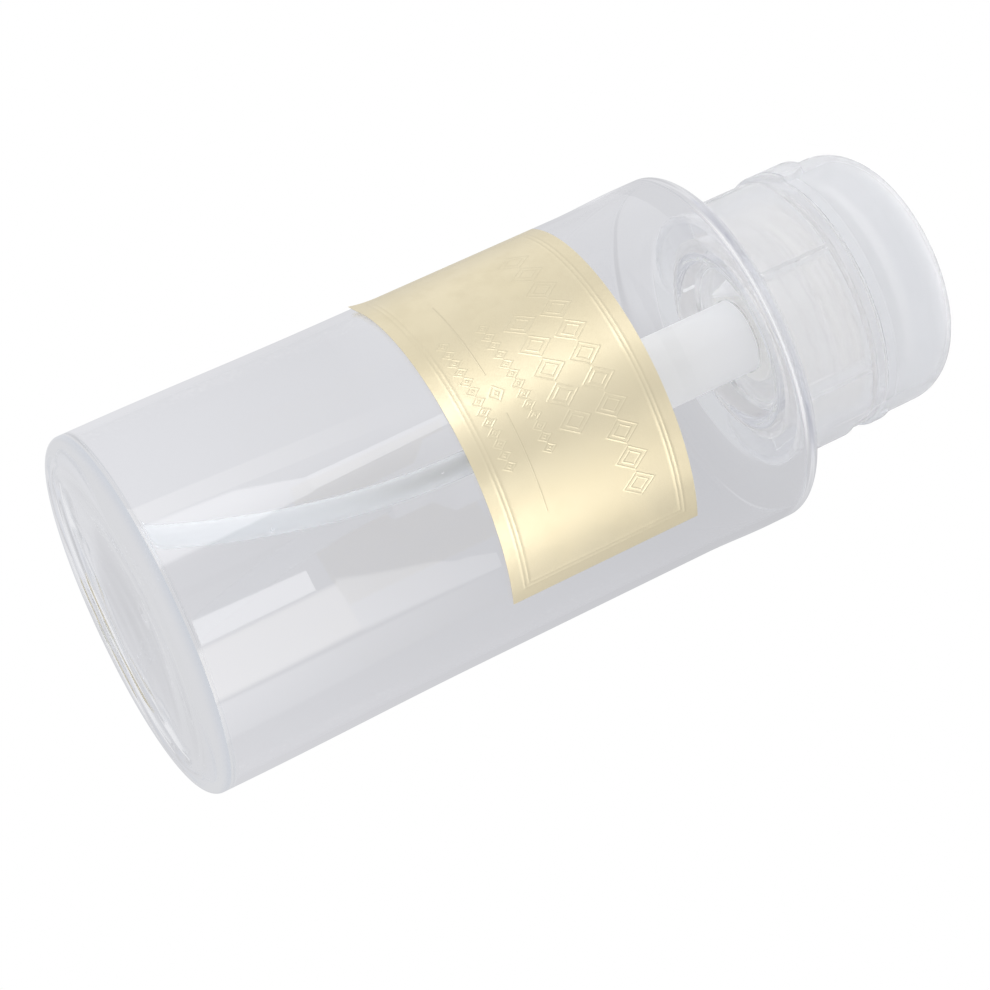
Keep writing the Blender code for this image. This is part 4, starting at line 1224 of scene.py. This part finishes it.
# %% Pressed row group
def build_pressed_row():
    """Height of one row of pressed lozenges."""
    group = open_group("pressed_row", (
        ("Along", 0.0), ("Upward", 0.0), ("Row Height", 0.0), ("Half Length", 10.0), ("Pitch", 4.0),
        ("Half Width", 1.6), ("Half Rise", 2.6), ("Line Share", 0.16), ("Inner Size", 0.55)), ("Height",))
    given = group.nodes.new("NodeGroupInput").outputs
    result = group.nodes.new("NodeGroupOutput").inputs
    off_centre = maths(group, "PINGPONG", given["Along"], maths(group, "MULTIPLY", given["Pitch"], 0.5))
    off_row = maths(group, "ABSOLUTE", maths(group, "SUBTRACT", given["Upward"], given["Row Height"]))
    reach = maths(group, "ADD", maths(group, "DIVIDE", off_centre, given["Half Width"]),
                  maths(group, "DIVIDE", off_row, given["Half Rise"]))

    def line_at(size):
        """Height of the lozenge line of one size."""
        off_line = maths(group, "ABSOLUTE", maths(group, "SUBTRACT", reach, size))
        off_share = maths(group, "DIVIDE", off_line, given["Line Share"])
        return maths(group, "SUBTRACT", 1.0, off_share, clamp=True)

    line = maths(group, "MAXIMUM", line_at(1.0), line_at(given["Inner Size"]))
    in_row = maths(group, "LESS_THAN", maths(group, "ABSOLUTE", given["Along"]), given["Half Length"])
    group.links.new(maths(group, "MULTIPLY", line, in_row), result["Height"])
    return group


pressed_row = build_pressed_row()
print("row group:", len(pressed_row.nodes), "nodes")

# %% Gold foil
LARGE = {"Pitch": 4.4, "Half Width": 1.95, "Half Rise": 2.7, "Line Share": 0.12, "Inner Size": 0.58}
SMALL = {"Pitch": 1.8, "Half Width": 0.78, "Half Rise": 1.1, "Line Share": 0.26, "Inner Size": 0.3}
ROWS = (
    {"Row Height": 75.6, "Half Length": 24.2, **LARGE},
    {"Row Height": 69.3, "Half Length": 11.0, **LARGE},
    {"Row Height": 63.9, "Half Length": 11.7, **SMALL},
    {"Row Height": 60.1, "Half Length": 1.5, **SMALL, "Pitch": 60.0, "Half Width": 1.3, "Half Rise": 1.3},
    {"Row Height": 57.0, "Half Length": 11.7, **SMALL},
)
RULE_HEIGHT = 60.1
RULE_HALF_WIDTH = 0.13
RULE_FROM = 3.35
RULE_TO = 19.6
PRESS_DEPTH = 0.02

tree, shader, relief = marked_surface(
    "satin_gold_foil", ((0.905, 0.806, 0.557), (0.935, 0.838, 0.60)), (0.32, 0.41),
    (120.0, 2600.0, 0.4, 0.12), 0.35, 0.0001)
shader.inputs["Metallic"].default_value = 1.0
middle = math.radians(LABEL_MIDDLE_ANGLE)
outward = vector_maths(tree, "DOT_PRODUCT", own_place(tree), (math.cos(middle), math.sin(middle), 0))
sideways = vector_maths(tree, "DOT_PRODUCT", own_place(tree), (-math.sin(middle), math.cos(middle), 0))
along = maths(tree, "MULTIPLY", maths(tree, "ARCTAN2", sideways, outward), LABEL_RADIUS)
upward = maths(tree, "DIVIDE", own_height(tree), MM)
off_rule = maths(tree, "ABSOLUTE", maths(tree, "SUBTRACT", upward, RULE_HEIGHT))
off_middle = maths(tree, "ABSOLUTE", along)
both_ends = maths(tree, "MULTIPLY", maths(tree, "LESS_THAN", off_middle, RULE_TO),
                  maths(tree, "GREATER_THAN", off_middle, RULE_FROM))
total = maths(tree, "MULTIPLY", ramp(tree, off_rule, 0.0, RULE_HALF_WIDTH, 1.0, 0.0), both_ends)
for values in ROWS:
    row = add_node(tree, "ShaderNodeGroup", {"node_tree": pressed_row}, values)
    wire_up(tree, (along, row.inputs["Along"]), (upward, row.inputs["Upward"]))
    total = maths(tree, "MAXIMUM", total, row.outputs["Height"])
pressed = add_node(tree, "ShaderNodeBump", values={"Strength": 1.0, "Distance": PRESS_DEPTH * MM})
wire_up(tree, (total, pressed.inputs["Height"]), (pressed.outputs["Normal"], relief.inputs["Normal"]))
print("foil:", len(tree.nodes), "nodes")

# %% Spring steel
tree, shader, relief = marked_surface(
    "drawn_spring_steel", ((0.56, 0.56, 0.57), (0.68, 0.68, 0.69)), (0.18, 0.34),
    (300.0, 6000.0, 0.2, 0.2), 0.2, 0.0001)
shader.inputs["Metallic"].default_value = 1.0

# %% Give each piece its finish
FINISHES = {
    "bottle_shell": "clear_blown_plastic", "screw_collar_shell": "milky_cap_plastic",
    "flip_lid_shell": "milky_lid_shaded_plastic", "hinge_film": "milky_cap_plastic",
    "well_cup": "natural_well_plastic", "vent_boss": "milky_boss_plastic",
    "pump_barrel": "white_barrel_plastic", "pad_dish": "milky_dish_plastic",
    "dip_tube_swept": "milky_tube_plastic", "return_spring_wire": "drawn_spring_steel",
    "foil_label": "satin_gold_foil",
}
NODE_FINISHES = {
    "neck_gasket": "foam_gasket_plastic", "retaining_ring": "white_barrel_plastic",
    "plunger_stem": "white_barrel_plastic", "piston": "soft_seal_plastic",
    "outlet_crown": "milky_dish_plastic", "lower_ball": "valve_ball_glass",
    "upper_ball": "valve_ball_glass",
}
for name, finish in FINISHES.items():
    piece = bpy.data.objects[name]
    piece.data.materials.clear()
    piece.data.materials.append(bpy.data.materials[finish])
for name, finish in NODE_FINISHES.items():
    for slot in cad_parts[name].material_slots:
        slot.material = bpy.data.materials[finish]
    print(name, "has", len(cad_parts[name].material_slots), "slots")
